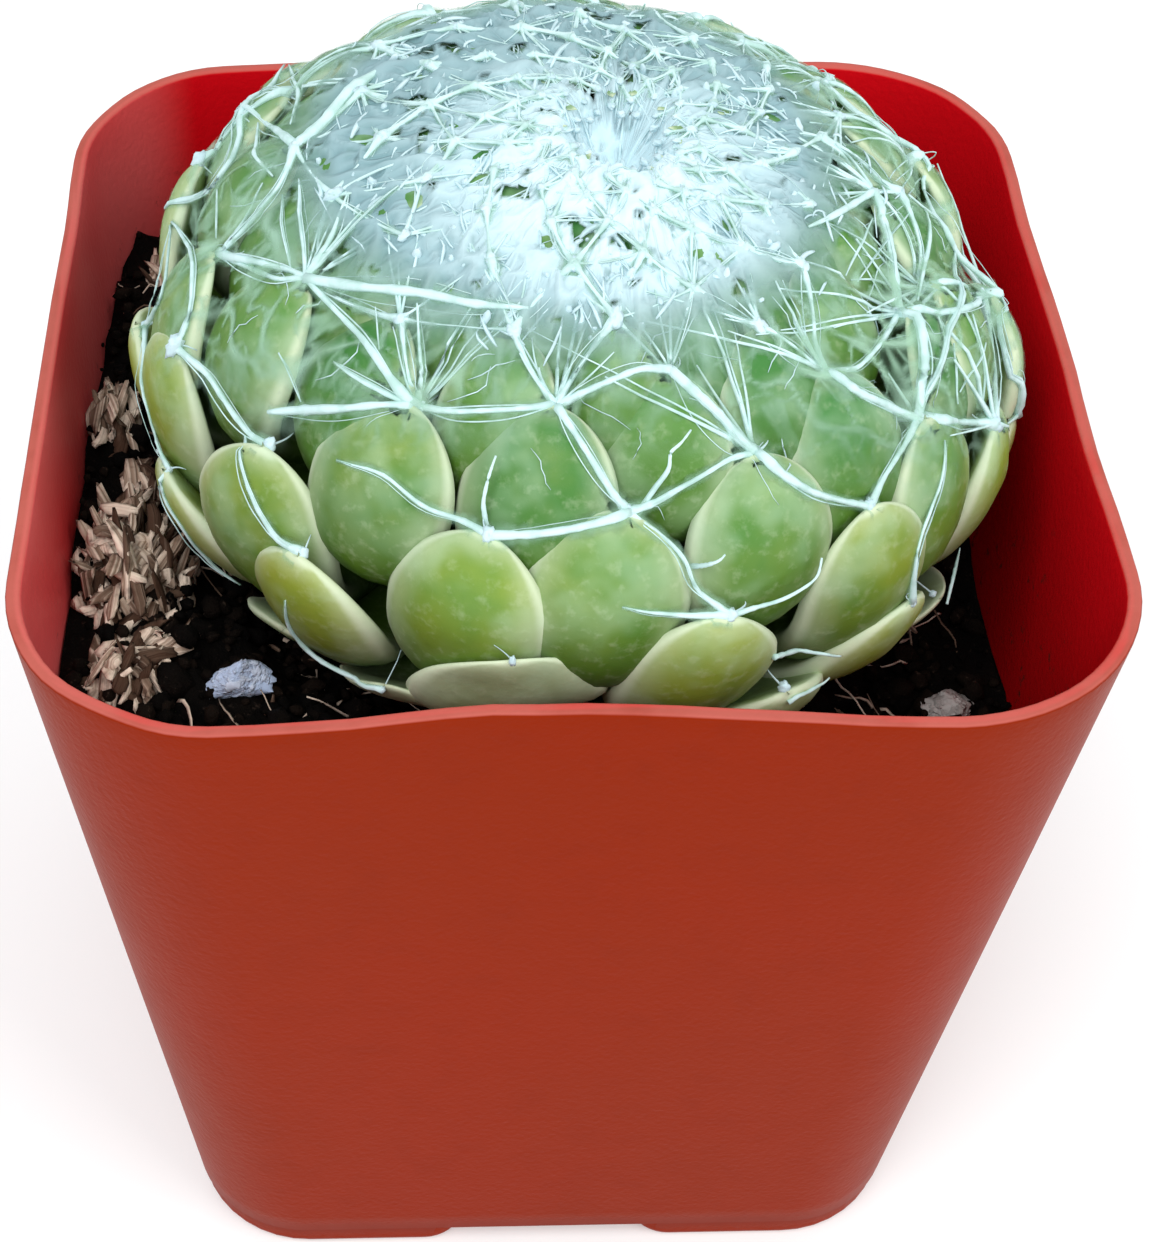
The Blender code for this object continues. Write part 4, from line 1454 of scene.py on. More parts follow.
@dataclass
class Drape:
    """The outer surface of the leaves, and a film stretched over it, as heights over the dome."""

    spiral: Spiral
    reach: float = math.radians(116)
    size: int = 340
    highest: float = 4.0 * MM
    lowest: float = -6.0 * MM
    pulls: int = 90
    leaves: np.ndarray = field(init=False)
    film: np.ndarray = field(init=False)

    def measure(self, rosette: bpy.types.Object) -> None:
        """Measure the leaves from outside, then stretch the film.

        Args:
            rosette: the leaves.
        """
        line = np.linspace(-1, 1, self.size) * self.reach
        x, y = np.meshgrid(line, line)
        polar = np.minimum(np.hypot(x, y), self.reach)
        way = self.spiral.direction(polar, np.arctan2(y, x)).reshape(-1, 3)
        start, end = self.spiral.place(way, self.highest), self.spiral.place(way, self.lowest)
        heading = unit(end - start)
        length = np.linalg.norm(end - start, axis=1)
        tree = BVHTree.FromObject(rosette, bpy.context.evaluated_depsgraph_get())
        found = np.full(len(way), self.lowest)
        for spot in range(len(way)):
            hit = tree.ray_cast(start[spot], heading[spot], length[spot])
            if hit[0] is not None:
                found[spot] = self.highest - hit[3] * (self.highest - self.lowest) / length[spot]
        self.leaves = found.reshape(self.size, self.size)
        taut = self.leaves.copy()
        for _ in range(self.pulls):
            middle = sum(np.roll(taut, step, axis) for step in (1, -1) for axis in (0, 1)) / 4
            taut = np.maximum(self.leaves, middle)
        self.film = taut

    def height(self, table: np.ndarray, way: np.ndarray) -> np.ndarray:
        """Read one of the two surfaces.

        Args:
            table: the leaves or the film.
            way: unit directions, any shape by 3.

        Returns:
            Heights over the dome.
        """
        polar = np.arccos(np.clip(way[..., 2], -1, 1))
        flat = way[..., :2] / np.maximum(np.linalg.norm(way[..., :2], axis=-1, keepdims=True), 1e-9)
        spot = (flat * polar[..., None] / self.reach * 0.5 + 0.5) * (self.size - 1)
        spot = np.clip(spot, 0, self.size - 1.001)
        low = np.floor(spot).astype(int)
        u, v = (spot - low)[..., 0], (spot - low)[..., 1]
        x, y = low[..., 0], low[..., 1]
        near = table[y, x] * (1 - u) + table[y, x + 1] * u
        far = table[y + 1, x] * (1 - u) + table[y + 1, x + 1] * u
        return near * (1 - v) + far * v

    def rest(self, points: np.ndarray, clear: np.ndarray | float) -> np.ndarray:
        """Lift points that are under the leaves to just above them."""
        way, lift = self.spiral.locate(points)
        return self.spiral.place(way, np.maximum(lift, self.height(self.leaves, way) + clear))


class Strand(Enum):
    """Kinds of hair by radius in metres."""

    ROPE = 0.27 * MM
    THREAD = 0.085 * MM
    HAIR = 0.035 * MM
    WOOL = 0.078 * MM


SEEN_ROPES: tuple[tuple[tuple[int, int, int], ...], ...] = (  # across, down and width in pixels
    ((284, 65, 6), (275, 84, 6), (246, 111, 9), (240, 141, 7), (222, 184, 7), (186, 202, 8), (165, 208, 7)),
    ((246, 111, 8), (272, 127, 6), (304, 153, 11)),
    ((304, 153, 12), (322, 132, 13), (361, 90, 13), (383, 74, 10)),
    ((289, 65, 5), (301, 93, 5), (292, 126, 4)),
    ((304, 153, 11), (292, 168, 8), (280, 190, 5), (255, 217, 6), (228, 244, 8), (214, 253, 12)),
    ((264, 184, 4), (243, 223, 4), (216, 252, 6)),
    ((258, 123, 5), (255, 156, 5), (275, 178, 5)),
    ((174, 223, 7), (198, 262, 5), (198, 311, 5), (182, 345, 9)),
    ((171, 226, 5), (163, 302, 4), (140, 320, 6)),
    ((218, 190, 4), (216, 238, 4)),
    ((214, 253, 12), (255, 262, 8), (292, 270, 6), (314, 284, 8)),
    ((231, 259, 5), (280, 281, 5), (314, 286, 8)),
    ((316, 284, 9), (335, 238, 5), (352, 196, 5)),
    ((301, 181, 4), (304, 230, 4), (308, 280, 5)),
    ((284, 196, 4), (292, 272, 5)),
    ((365, 214, 4), (318, 282, 6)),
    ((401, 190, 4), (322, 282, 6)),
    ((316, 284, 12), (368, 290, 9), (430, 295, 10), (470, 307, 9), (529, 310, 8)),
    ((322, 292, 6), (345, 320, 6), (371, 347, 7), (392, 378, 9), (414, 405, 14)),
    ((377, 308, 3), (380, 350, 3)),
    ((419, 305, 4), (422, 368, 4), (416, 404, 7)),
    ((334, 362, 4), (360, 380, 4), (414, 406, 7)),
    ((280, 353, 3), (301, 402, 3)),
    ((182, 347, 9), (210, 375, 7), (231, 411, 6), (252, 438, 7), (264, 449, 9)),
    ((245, 436, 5), (250, 486, 4), (262, 515, 5), (276, 541, 7), (299, 557, 11)),
    ((268, 412, 11), (305, 410, 10), (345, 409, 8), (388, 404, 6), (414, 406, 11)),
    ((337, 460, 3), (384, 472, 4), (410, 495, 4), (425, 510, 5), (462, 519, 6), (490, 532, 9)),
    ((286, 600, 3), (288, 624, 4), (300, 644, 5), (318, 661, 5), (347, 675, 5), (382, 689, 7)),
    ((137, 328, 6), (143, 384, 4), (152, 420, 3), (156, 445, 3), (155, 472, 7)),
    ((155, 472, 7), (163, 492, 4), (185, 528, 4), (212, 566, 4), (240, 585, 3)),
    ((490, 533, 11), (530, 535, 8), (580, 528, 7), (627, 511, 12)),
    ((556, 405, 10), (570, 425, 7), (592, 460, 6), (610, 490, 7), (627, 511, 11)),
    ((414, 406, 9), (450, 412, 5), (505, 410, 5), (556, 405, 9)),
    ((556, 405, 9), (600, 385, 6), (642, 368, 7), (668, 371, 10)),
    ((627, 511, 10), (650, 506, 7), (682, 487, 5), (732, 457, 5), (757, 453, 9)),
    ((640, 520, 6), (668, 540, 4), (688, 562, 4), (694, 590, 4), (732, 615, 8)),
    ((622, 606, 2), (655, 613, 4), (690, 616, 5), (732, 616, 9)),
    ((668, 372, 12), (690, 390, 10), (720, 417, 10), (740, 440, 10), (757, 453, 13)),
    ((757, 453, 12), (775, 471, 9), (808, 491, 7), (840, 501, 5), (871, 507, 9)),
    ((871, 507, 9), (885, 475, 5), (905, 445, 5), (925, 421, 10)),
    ((944, 440, 3), (940, 480, 3), (930, 515, 3), (914, 550, 3), (908, 601, 8)),
    ((960, 548, 3), (955, 570, 4), (947, 604, 7)),
    ((1000, 293, 8), (999, 331, 6), (1009, 368, 8), (1024, 411, 10)),
    ((823, 372, 10), (856, 394, 8), (890, 408, 8), (925, 421, 11)),
    ((924, 190, 8), (942, 234, 7), (954, 252, 6), (988, 282, 7), (1001, 292, 9)),
    ((864, 200, 10), (888, 234, 9), (894, 264, 8), (912, 311, 11)),
    ((864, 200, 8), (830, 219, 7), (805, 230, 6)),
    ((872, 219, 4), (845, 276, 4)),
    ((912, 207, 4), (857, 282, 4)),
    ((924, 210, 5), (927, 252, 5), (918, 300, 5)),
    ((954, 252, 7), (956, 307, 8), (942, 349, 7), (927, 388, 6), (925, 419, 9)),
    ((988, 298, 7), (954, 313, 7), (912, 313, 9)),
    ((954, 343, 4), (958, 404, 4)),
    ((985, 343, 4), (960, 392, 4)),
    ((912, 312, 12), (918, 340, 11), (921, 385, 10), (925, 419, 12)),
    ((912, 313, 8), (880, 345, 5), (857, 370, 5), (830, 376, 7)),
    ((888, 373, 4), (912, 404, 4)),
    ((827, 80, 8), (872, 128, 7), (921, 150, 7), (924, 190, 8)),
)

LOOSE_HAIRS: tuple[tuple[tuple[int, int], ...], ...] = (  # across and down in pixels
    ((637, 513), (652, 486), (666, 467), (664, 451), (675, 444), (687, 430)),
    ((733, 613), (748, 601), (775, 590), (806, 571), (814, 553)),
    ((773, 655), (790, 638), (813, 640), (833, 647)),
    ((787, 700), (789, 684), (806, 671), (822, 668)),
    ((488, 528), (486, 500), (492, 475), (498, 455)),
    ((690, 565), (706, 556), (720, 550)),
)


@dataclass(frozen=True)
class FeltLayer:
    """Hairs matted over the crown: how many, how high over the film, their steps and their lie."""

    name: str
    hairs: int
    heights: tuple[float, float]
    strides: tuple[float, float]
    sway: float
    combed: float


@dataclass
class Cobweb:
    """Ropes from tip to tip, fans of threads, a film with holes over the leaves, and felt on the crown."""

    spiral: Spiral
    drape: Drape
    rope_wool: WebWool = WebWool("rope_wool", (0.58, 0.77, 0.78), (0.42, 0.62, 0.58))
    knot_wool: WebWool = WebWool("knot_wool", (0.58, 0.74, 0.79), (0.46, 0.63, 0.68))
    felt_wool: WebWool = WebWool("felt_wool", (0.60, 0.78, 0.82), (0.48, 0.66, 0.70))
    first: int = 9
    last: int = 150
    steps: tuple[int, ...] = (5, 8, 13, 21, 34)
    layers: tuple[FeltLayer, ...] = (
        FeltLayer("web_felt_curls", 300, (0.03 * MM, 0.16 * MM), (0.12 * MM, 0.32 * MM), 0.12, 0.60),
        FeltLayer("web_felt_threads", 170, (0.05 * MM, 0.22 * MM), (0.25 * MM, 0.55 * MM), 0.05, 0.65),
    )
    rope_points: int = 20
    outer_leaves: int = 24
    front_leaf: int = 15
    crown_leaves: int = 80
    tip_lift: float = 0.24 * MM
    leaf_hairs: int = 150
    tufts: int = 150
    crown_lift: float = 0.25 * MM
    heart: tuple[float, float, float] = (-0.11, 0.03, 0.99)
    # the crown's brightest spot, where the film is painted lightest
    bright: tuple[float, float, float] = (-0.04, -0.17, 0.98)
    felt_inner: float = math.radians(29)
    felt_outer: float = math.radians(42)
    film_reach: float = math.radians(80)
    film_front: float = math.radians(32)
    film_cell: float = 0.245 * MM
    film_thickness: float = 0.05 * MM
    seen_pixel: float = 0.049 * MM
    snap: float = 17.0
    seed: int = 23
    cords: list[tuple[np.ndarray, np.ndarray]] = field(default_factory=list)
    fanned: list[tuple[int, np.ndarray, float]] = field(default_factory=list)

    def scale(self, index: np.ndarray | float) -> np.ndarray | float:
        """How coarse the web is at a leaf, 1 on the outer leaves and less towards the crown."""
        return np.minimum(1.0, self.spiral.spacing(index) / (7.5 * MM))

    def knots_at(self) -> np.ndarray:
        """Where the web is fixed to each leaf tip."""
        tips = self.spiral.tips()
        index = np.arange(len(tips))
        ground = np.maximum(self.drape.height(self.drape.leaves, tips), -0.6 * MM)
        felt = self.drape.height(self.drape.film, tips) + self.crown_lift
        thick = self.wooliness(tips)
        ground = ground * (1 - thick) + np.maximum(ground, felt) * thick
        return self.spiral.place(tips, ground + self.tip_lift * self.scale(index))

    def strung(self, start: np.ndarray, end: np.ndarray, points: int, slack: np.ndarray) -> np.ndarray:
        """Strands pulled straight between two ends, with a little slack.

        Args:
            start: n by 3 points.
            end: n by 3 points.
            points: points on each strand.
            slack: how far the middle moves, n by 3.

        Returns:
            Paths, n by points by 3.
        """
        share = np.linspace(0, 1, points)[None, :, None]
        path = start[:, None] * (1 - share) + end[:, None] * share
        return path + 4 * share * (1 - share) * slack[:, None]

    def slack(self, draw: np.random.Generator, start: np.ndarray, size: float, sag: float) -> np.ndarray:
        """Random slack for strands: mostly down, a little to the side."""
        loose = draw.normal(0, 1, start.shape) * size
        loose[:, 2] -= sag
        return loose

    def pairs(self, draw: np.random.Generator) -> list[tuple[int, int, float]]:
        """Neighbouring tips that a rope joins and that aren't both seen, with the rope's strength."""
        tips = self.spiral.tips()
        found = []
        for index in range(self.first, self.last):
            reach = float(self.spiral.spacing(index)) * 1.42 / self.spiral.radius
            near = [(np.linalg.norm(tips[index] - tips[index + step]), step) for step in self.steps]
            near = sorted(pair for pair in near if pair[0] < reach)[:3]
            grown = float(np.clip((index - 8) / 22, 0.3, 1.0))
            for rank, (_, step) in enumerate(near):
                if {index, index + step} <= SEEN_TIPS.keys():
                    continue
                if draw.uniform() < (0.95, 0.85, 0.45)[rank] * grown**0.5:
                    strength = (1.0, 0.8, 0.5)[rank] * draw.uniform(0.6, 1.2) * grown
                    found.append((index, index + step, strength))
        return found

    def strings(self, studio: "Studio", draw: np.random.Generator) -> list[tuple[np.ndarray, np.ndarray]]:
        """Every rope's path and radii: as the photograph shows them, then between the other tips.

        Args:
            studio: the studio, whose camera is the photograph's.
            draw: the random source.

        Returns:
            A path and its radii for each rope.
        """
        knots, steps, found = self.knots_at(), self.rope_points, []
        shown = {index: studio.pixel(knots[index]) for index in SEEN_TIPS}
        for marks in SEEN_ROPES:
            spots = np.array([self.under(studio, mark[:2], self.drape.film) for mark in marks])
            wide = [float(mark[2]) for mark in marks]
            for end in (0, -1):
                miss, index = min((math.dist(shown[index], marks[end][:2]), index) for index in shown)
                if miss < self.snap:
                    spots[end] = knots[index]
                else:
                    wide[end] *= 0.4
            run = np.append(0.0, np.cumsum(np.linalg.norm(np.diff(spots, axis=0), axis=1)))
            at = np.linspace(0, run[-1], steps)
            path = rounded(spots, run, at)
            radii = np.interp(at, run, wide) * self.seen_pixel / 2
            way, lift = self.spiral.locate(path)
            thick = self.wooliness(way)
            felt = self.drape.height(self.drape.film, way) + 1.2 * self.crown_lift * thick
            path = self.spiral.place(way, np.where(thick > 0.02, np.maximum(lift, felt), lift))
            found.append((self.drape.rest(path, radii * 0.6), radii))
        flare = 0.50 + 0.95 * np.abs(np.linspace(-1, 1, steps)) ** 2.4
        for first, last, strength in self.pairs(draw):
            scale = float(self.scale(first))
            start, end = knots[first][None], knots[last][None]
            sag = draw.uniform(0.0, 0.35) * MM * scale
            path = self.strung(start, end, steps, self.slack(draw, start, 0.12 * MM * scale, sag))[0]
            radii = Strand.ROPE.value * strength * (0.45 + 0.55 * scale) * flare
            found.append((self.drape.rest(path, radii * 0.5), radii))
        return found

    def ropes(self, draw: np.random.Generator) -> MeshPile:
        """Thick tapering ropes, each with two thin threads that part from it."""
        pile = MeshPile()
        for path, radii in self.cords:
            steps = len(radii)
            add_strands(pile, path[None], radii[None] * draw.uniform(0.85, 1.15, (1, steps)), sides=6)
            hump = 1 - np.linspace(-1, 1, steps)[None, :, None] ** 2
            stray = path + draw.normal(0, 1.6, (2, 1, 3)) * float(radii.mean()) * hump
            thin = np.full((2, steps), 1.0) * draw.uniform(0.018, 0.045, (2, 1)) * MM
            add_strands(pile, self.drape.rest(stray, thin), thin)
        return pile

    def bands(self, draw: np.random.Generator) -> MeshPile:
        """Soft bands of fine hair that lie along the ropes, fading to both sides."""
        pile = MeshPile()
        rows, columns = self.rope_points, 5
        across = np.linspace(-1, 1, columns)
        for path, radii in self.cords:
            if radii.max() < 0.12 * MM:
                continue
            way, _ = self.spiral.locate(path)
            out = unit(self.spiral.place(way, 1 * MM) - self.spiral.place(way))
            aside = unit(np.cross(unit(np.gradient(path, axis=0)), out))
            wide = (radii * 2.2 + 0.10 * MM) * draw.uniform(0.8, 1.2, rows)
            low = path[:, None] + aside[:, None] * (wide[:, None] * across)[..., None]
            way, lift = self.spiral.locate(low)
            lift = np.maximum(lift - 0.06 * MM, self.drape.height(self.drape.leaves, way) + 0.04 * MM)
            points, faces = self.shell(
                self.spiral.place(way, lift).reshape(-1, 3),
                self.spiral.place(way, lift + 0.035 * MM).reshape(-1, 3),
                rows,
                columns,
            )
            veil = np.tile((0.85 * (1 - np.abs(across)) * np.ones((rows, 1))).ravel(), 2)
            pile.add(points, faces, None, veil=veil, core=0.0, crest=veil, heart=0.0)
        return pile

    def flecks(self, draw: np.random.Generator) -> MeshPile:
        """Small bright tufts scattered through the felt."""
        pile = MeshPile()
        round_body, faces, caps = ball(6, 8)
        for _ in range(self.tufts):
            way = unit(np.append(draw.normal(0, 0.30, 2) + np.array(self.bright)[:2], 0.98))
            if draw.uniform() > float(self.wooliness(way)) ** 1.5:
                continue
            ground = float(self.drape.height(self.drape.film, way))
            size = draw.uniform(0.09, 0.22) * MM
            size = size * np.array([1.0, draw.uniform(0.5, 1.0), draw.uniform(1.0, 2.4)])
            tilt = Matrix.Rotation(draw.normal(0, 0.8), 3, Vector(draw.normal(size=3)).normalized())
            shape = (round_body * draw.uniform(0.8, 1.2, (len(round_body), 1)) * size) @ np.array(tilt).T
            pile.add(shape + self.spiral.place(way, ground + draw.uniform(0.02, 0.20) * MM), faces, caps)
        return pile

    def shell(
        self, low: np.ndarray, high: np.ndarray, rows: int, columns: int
    ) -> tuple[np.ndarray, np.ndarray]:
        """A closed thin skin between two sheets of points.

        Args:
            low: the lower sheet.
            high: the upper sheet.
            rows: rows of points in each.
            columns: points in a row.

        Returns:
            Points and quads.
        """
        count = rows * columns
        upper = grid_faces(rows, columns, closed=False)
        number = np.arange(count).reshape(rows, columns)
        loop = np.concatenate([number[0], number[1:, -1], number[-1, -2::-1], number[-2:0:-1, 0]])
        following = np.roll(loop, -1)
        sides = np.stack([loop, following, following + count, loop + count], -1)
        faces = np.concatenate([upper[:, ::-1], upper + count, sides])
        return np.concatenate([low, high]), faces

    def knots(self, draw: np.random.Generator) -> MeshPile:
        """A soft knot of wool on each leaf tip, with short hairs that leave it upwards."""
        pile = MeshPile()
        knots, tips = self.knots_at(), self.spiral.tips()
        round_body, faces, caps = ball(9, 12)
        for index in range(self.first - 3, self.last + 36):
            scale = float(self.scale(index))
            size = draw.uniform(0.26, 0.42) * MM * (0.62 + 0.38 * scale)
            if index < self.outer_leaves and index != self.front_leaf:
                size *= 0.5
            elif index >= self.crown_leaves:
                size *= 0.75
            inward = uphill(tips[index])
            bumps = np.array([noise.noise(Vector(p) * 2.1 + Vector((index, 0, 0))) for p in round_body])
            shape = round_body * (1 + 0.6 * bumps[:, None]) * size * np.array([1.0, 1.0, 0.8])
            shape = shape + (shape @ inward)[:, None] * inward * draw.uniform(0.0, 0.9)
            pile.add(shape + knots[index], faces, caps)
            many = (4 if index < 70 else 2) if index >= 44 else 1
            way = np.repeat(tips[index][None], many, 0)
            aside = np.cross(inward, tips[index])
            spread = draw.uniform(-1.2, 1.2, many)
            reach = draw.uniform(0.4, 1.3, many) * MM * (0.5 + 0.5 * scale) / self.spiral.radius
            heading = np.cos(spread)[:, None] * inward + np.sin(spread)[:, None] * aside
            goal = unit(way + heading * reach[:, None])
            goal = self.spiral.place(goal, self.drape.height(self.drape.leaves, goal) + 0.1 * MM)
            start, loose = np.repeat(knots[index][None], many, 0), draw.normal(0, 0.1, (many, 3)) * MM
            path = self.strung(start, goal, 6, loose)
            radii = np.linspace(1.3, 0.4, 6)[None] * Strand.THREAD.value * draw.uniform(0.5, 1.0, (many, 1))
            add_strands(pile, self.drape.rest(path, radii), radii)
        return pile

    def threads(self, draw: np.random.Generator) -> list[tuple[int, np.ndarray, float]]:
        """Where the fan threads go: from a tip up to the tips and leaves above it, and how thick."""
        tips = self.spiral.tips()
        found = []
        for index in range(self.first, self.last):
            if index < 46 and index in SEEN_TIPS:
                continue
            space = float(self.spiral.spacing(index)) / self.spiral.radius
            steps = (3, 5, 8, 13, 18, 21, 26, 34, 42, 55)
            above = [index + step for step in steps if index + step < len(tips)]
            above = [one for one in above if np.linalg.norm(tips[one] - tips[index]) < 2.4 * space]
            up = uphill(tips[index])
            above = [one for one in above if float(unit(tips[one] - tips[index]) @ up) > 0.62]
            if not above:
                continue
            most = 1 + 6 * float(np.clip((index - 21) / 14, 0, 1)) * (0.4 if index > 72 else 1.0)
            for _ in range(int(draw.uniform(0.6, 1.2) * most)):
                goal = above[int(draw.integers(len(above)))]
                share = draw.uniform(0.45, 1.0)
                way = unit(tips[index] * (1 - share) + tips[goal] * share + draw.normal(0, 0.11, 3) * space)
                ground = float(self.drape.height(self.drape.leaves, way))
                end = self.spiral.place(way, ground + draw.uniform(0.0, 0.3) * MM)
                size = draw.uniform(0.55, 1.20) * (0.6 + 0.4 * float(self.scale(index)))
                found.append((index, end, size))
        return found

    def fans(self, draw: np.random.Generator) -> MeshPile:
        """Straight threads that fan from each tip to the tips and leaves above it."""
        pile = MeshPile()
        knots = self.knots_at()
        start = np.array([knots[index] for index, _, _ in self.fanned])
        end = np.array([one for _, one, _ in self.fanned])
        size = np.array([one for _, _, one in self.fanned])[:, None]
        path = self.strung(start, end, 9, self.slack(draw, start, 0.09 * MM, 0.04 * MM))
        radii = Strand.THREAD.value * size * np.linspace(1.5, 0.6, 9)[None]
        path = self.drape.rest(path, radii)
        way, lift = self.spiral.locate(path)
        felt = self.drape.height(self.drape.film, way) + draw.uniform(0.0, 0.12, (len(path), 1)) * MM
        path = self.spiral.place(way, np.where(self.wooliness(way) > 0.2, np.maximum(lift, felt), lift))
        add_strands(pile, path, radii, sides=4)
        return pile

    def skin_hairs(self, draw: np.random.Generator) -> MeshPile:
        """Fine wavy hairs that lie on the leaves' backs, more of them towards the crown."""
        pile = MeshPile()
        count, reach = self.leaf_hairs, math.radians(62)
        polar = reach * np.sqrt(draw.uniform(0.06, 1.0, count * 3))
        keep = draw.uniform(size=count * 3) < np.clip(1.1 - polar / reach, 0.03, 1.0)
        polar = polar[keep][:count]
        count = len(polar)
        way = self.spiral.direction(polar, draw.uniform(0, 2 * math.pi, count))
        inward = uphill(way)
        heading = unit(inward + np.cross(inward, way) * draw.normal(0, 0.9, (count, 1)))
        stride = draw.uniform(0.25, 0.7, (count, 1)) * MM / self.spiral.radius
        path, taper = [], np.array([[0.4, 0.8, 1, 1, 1, 0.8, 0.4]])
        for _ in range(taper.size):
            ground = self.drape.height(self.drape.leaves, way)
            path.append(self.spiral.place(way, ground + draw.uniform(0.02, 0.10, count) * MM))
            way = unit(way + heading * stride)
            heading = unit(heading - way * np.sum(heading * way, axis=1, keepdims=True))
            heading = unit(heading + draw.normal(0, 0.30, (count, 3)))
        radii = Strand.HAIR.value * draw.uniform(0.5, 1.3, (count, 1)) * taper
        add_strands(pile, np.stack(path, axis=1), radii)
        return pile

    def loose_hairs(self, studio: "Studio", draw: np.random.Generator) -> MeshPile:
        """Single thick hairs that stand off the front leaves where the photograph shows them."""
        pile, steps = MeshPile(), 22
        rise = np.sin(np.linspace(0, 1, steps) * math.pi * 0.8) * 0.8 * MM
        for seen in LOOSE_HAIRS:
            marks = np.array([self.under(studio, spot, self.drape.leaves) for spot in seen])
            path = rounded(marks, np.arange(len(seen)), np.linspace(0, len(seen) - 1, steps))
            way, lift = self.spiral.locate(path)
            path = self.spiral.place(way, lift + rise + 0.15 * MM)
            radii = np.linspace(0.14, 0.05, steps) * draw.uniform(0.85, 1.15, steps) * MM
            add_strands(pile, path[None], radii[None], sides=6)
        return pile

    def under(self, studio: "Studio", spot: Sequence[float], table: np.ndarray) -> np.ndarray:
        """The place on the leaves or the film that the photograph shows at a pixel, or nearest to it."""
        eye, heading = studio.sight(spot)
        path = eye + heading * np.linspace(0.10, 0.20, 900)[:, None]
        way, lift = self.spiral.locate(path)
        above = lift - self.drape.height(table, way)
        return path[int(np.argmax(above < 0)) if np.any(above < 0) else int(np.argmin(above))]

    def wooliness(self, way: np.ndarray) -> np.ndarray:
        """How thick the wool lies in a direction, 1 at its heart and 0 far from it."""
        far = np.arccos(np.clip(way @ unit(np.array(self.heart)), -1, 1))
        return np.clip((self.felt_outer - far) / (self.felt_outer - self.felt_inner), 0.0, 1.0)

    def felt(self, draw: np.random.Generator, layer: FeltLayer) -> MeshPile:
        """Hairs matted over the crown, more of them lying towards its back than any other way.

        Args:
            draw: the random source.
            layer: how many hairs, and how they lie.

        Returns:
            The hairs.
        """
        pile = MeshPile()
        picked, hairs, sway = np.zeros((0, 3)), layer.hairs, layer.sway
        while len(picked) < hairs:
            spot = unit(np.concatenate([draw.normal(0, 0.42, (hairs, 2)), np.ones((hairs, 1))], axis=1))
            holes = np.array([noise.noise(Vector(p) * 14.0) for p in spot])
            keep = self.wooliness(spot) ** 1.2 * np.clip(0.8 + holes * 1.5, 0.15, 1.0)
            picked = np.concatenate([picked, spot[draw.uniform(size=hairs) < keep]])
        way, steps = picked[:hairs], 7
        back = uphill(way, unit(np.array([0.0, 0.85, 0.5]))) * layer.combed
        heading = unit(unit(np.cross(way, draw.normal(size=(hairs, 3)))) * (1 - layer.combed) + back)
        stride = draw.uniform(*layer.strides, (hairs, 1)) / self.spiral.radius
        swing = draw.normal(0, sway * 1.6, (hairs, 1))
        base = draw.uniform(*layer.heights, hairs)
        arch = draw.uniform(-0.06, 0.12, hairs) * MM
        path = []
        for step in range(steps):
            hump = 4 * (step / (steps - 1)) * (1 - step / (steps - 1))
            ground = self.drape.height(self.drape.film, way)
            path.append(self.spiral.place(way, ground + base + arch * hump))
            way = unit(way + heading * stride)
            heading = unit(heading + np.cross(way, heading) * swing + draw.normal(0, sway, (hairs, 3)))
        shape = np.array([[0.5, 0.9, 1.1, 1.1, 1.0, 0.8, 0.4]])
        radii = Strand.WOOL.value * draw.lognormal(0, 0.35, (hairs, 1)) * shape
        add_strands(pile, np.stack(path, axis=1), np.minimum(radii, 0.20 * MM))
        return pile

    def ripple(self, spots: np.ndarray, offset: Vector) -> np.ndarray:
        """Smooth noise at many places."""
        return np.array([noise.noise(Vector(spot) + offset) for spot in spots.reshape(-1, 3)])

    def film(self, draw: np.random.Generator) -> MeshPile:
        """The film stretched over the leaves: milky at the crown, a net with holes around it."""
        cells = int(2 * self.film_reach * self.spiral.radius / self.film_cell)
        line = np.linspace(-1, 1, cells + 1) * self.film_reach
        x, y = np.meshgrid(line, line)
        polar, turn = np.hypot(x, y), np.arctan2(y, x)
        way = self.spiral.direction(polar, turn)
        offset = Vector(draw.uniform(-5, 5, 3))
        fans = np.stack([np.cos(turn) * 7, np.sin(turn) * 7, polar * 5.0], -1)
        rays, net, holes, lumps = (
            self.ripple(spots, offset * number).reshape(x.shape)
            for number, spots in enumerate((fans, way * 14.0, way * 9.0, way * 19.0), start=1)
        )
        thick = self.wooliness(way)
        # painted light: closeness to the crown's brightest spot, which makes the film paler there
        heart = np.clip(1.15 - np.arccos(np.clip(way @ unit(np.array(self.bright)), -1, 1)) / 0.42, 0, 1)
        limit = self.film_reach - self.film_front * np.clip(-np.sin(turn), 0, 1) ** 2.2
        level = np.clip((limit - polar) / math.radians(22), 0, 1) * (0.62 + 0.5 * lumps)
        strands = np.maximum(0.09 + 0.08 * thick - np.abs(rays), 0.10 - np.abs(net))
        cover = np.maximum(0.02 - holes, strands * 1.2)
        cover = cover + 0.45 * thick * (1 - 1.3 * np.clip((lumps - 0.26) * 4, 0, 1))
        cover = cover - np.clip(polar - limit, 0, 1)
        veil = np.clip(cover / 0.10, 0, 1) * np.clip(np.maximum(level, thick), 0, 1)
        crest = np.maximum(np.exp(-((rays / 0.13) ** 2)), 0.8 * np.exp(-((net / 0.10) ** 2)))
        cover = (cover[:-1, :-1] + cover[1:, :-1] + cover[:-1, 1:] + cover[1:, 1:]) / 4
        kept = self.tidy(cover > 0.0)
        lift = self.drape.height(self.drape.film, way)
        lift = lift + (0.05 + thick * (crest * 0.25 + lumps * 0.40)) * MM
        top = self.spiral.place(way, lift + self.film_thickness).reshape(-1, 3)
        low = self.spiral.place(way, lift).reshape(-1, 3)
        faces = self.cut(kept)
        used = np.unique(faces)
        renumber = np.zeros(2 * x.size, dtype=int)
        renumber[used] = np.arange(len(used))
        numbers = {"veil": veil, "core": thick, "crest": crest, "heart": heart}
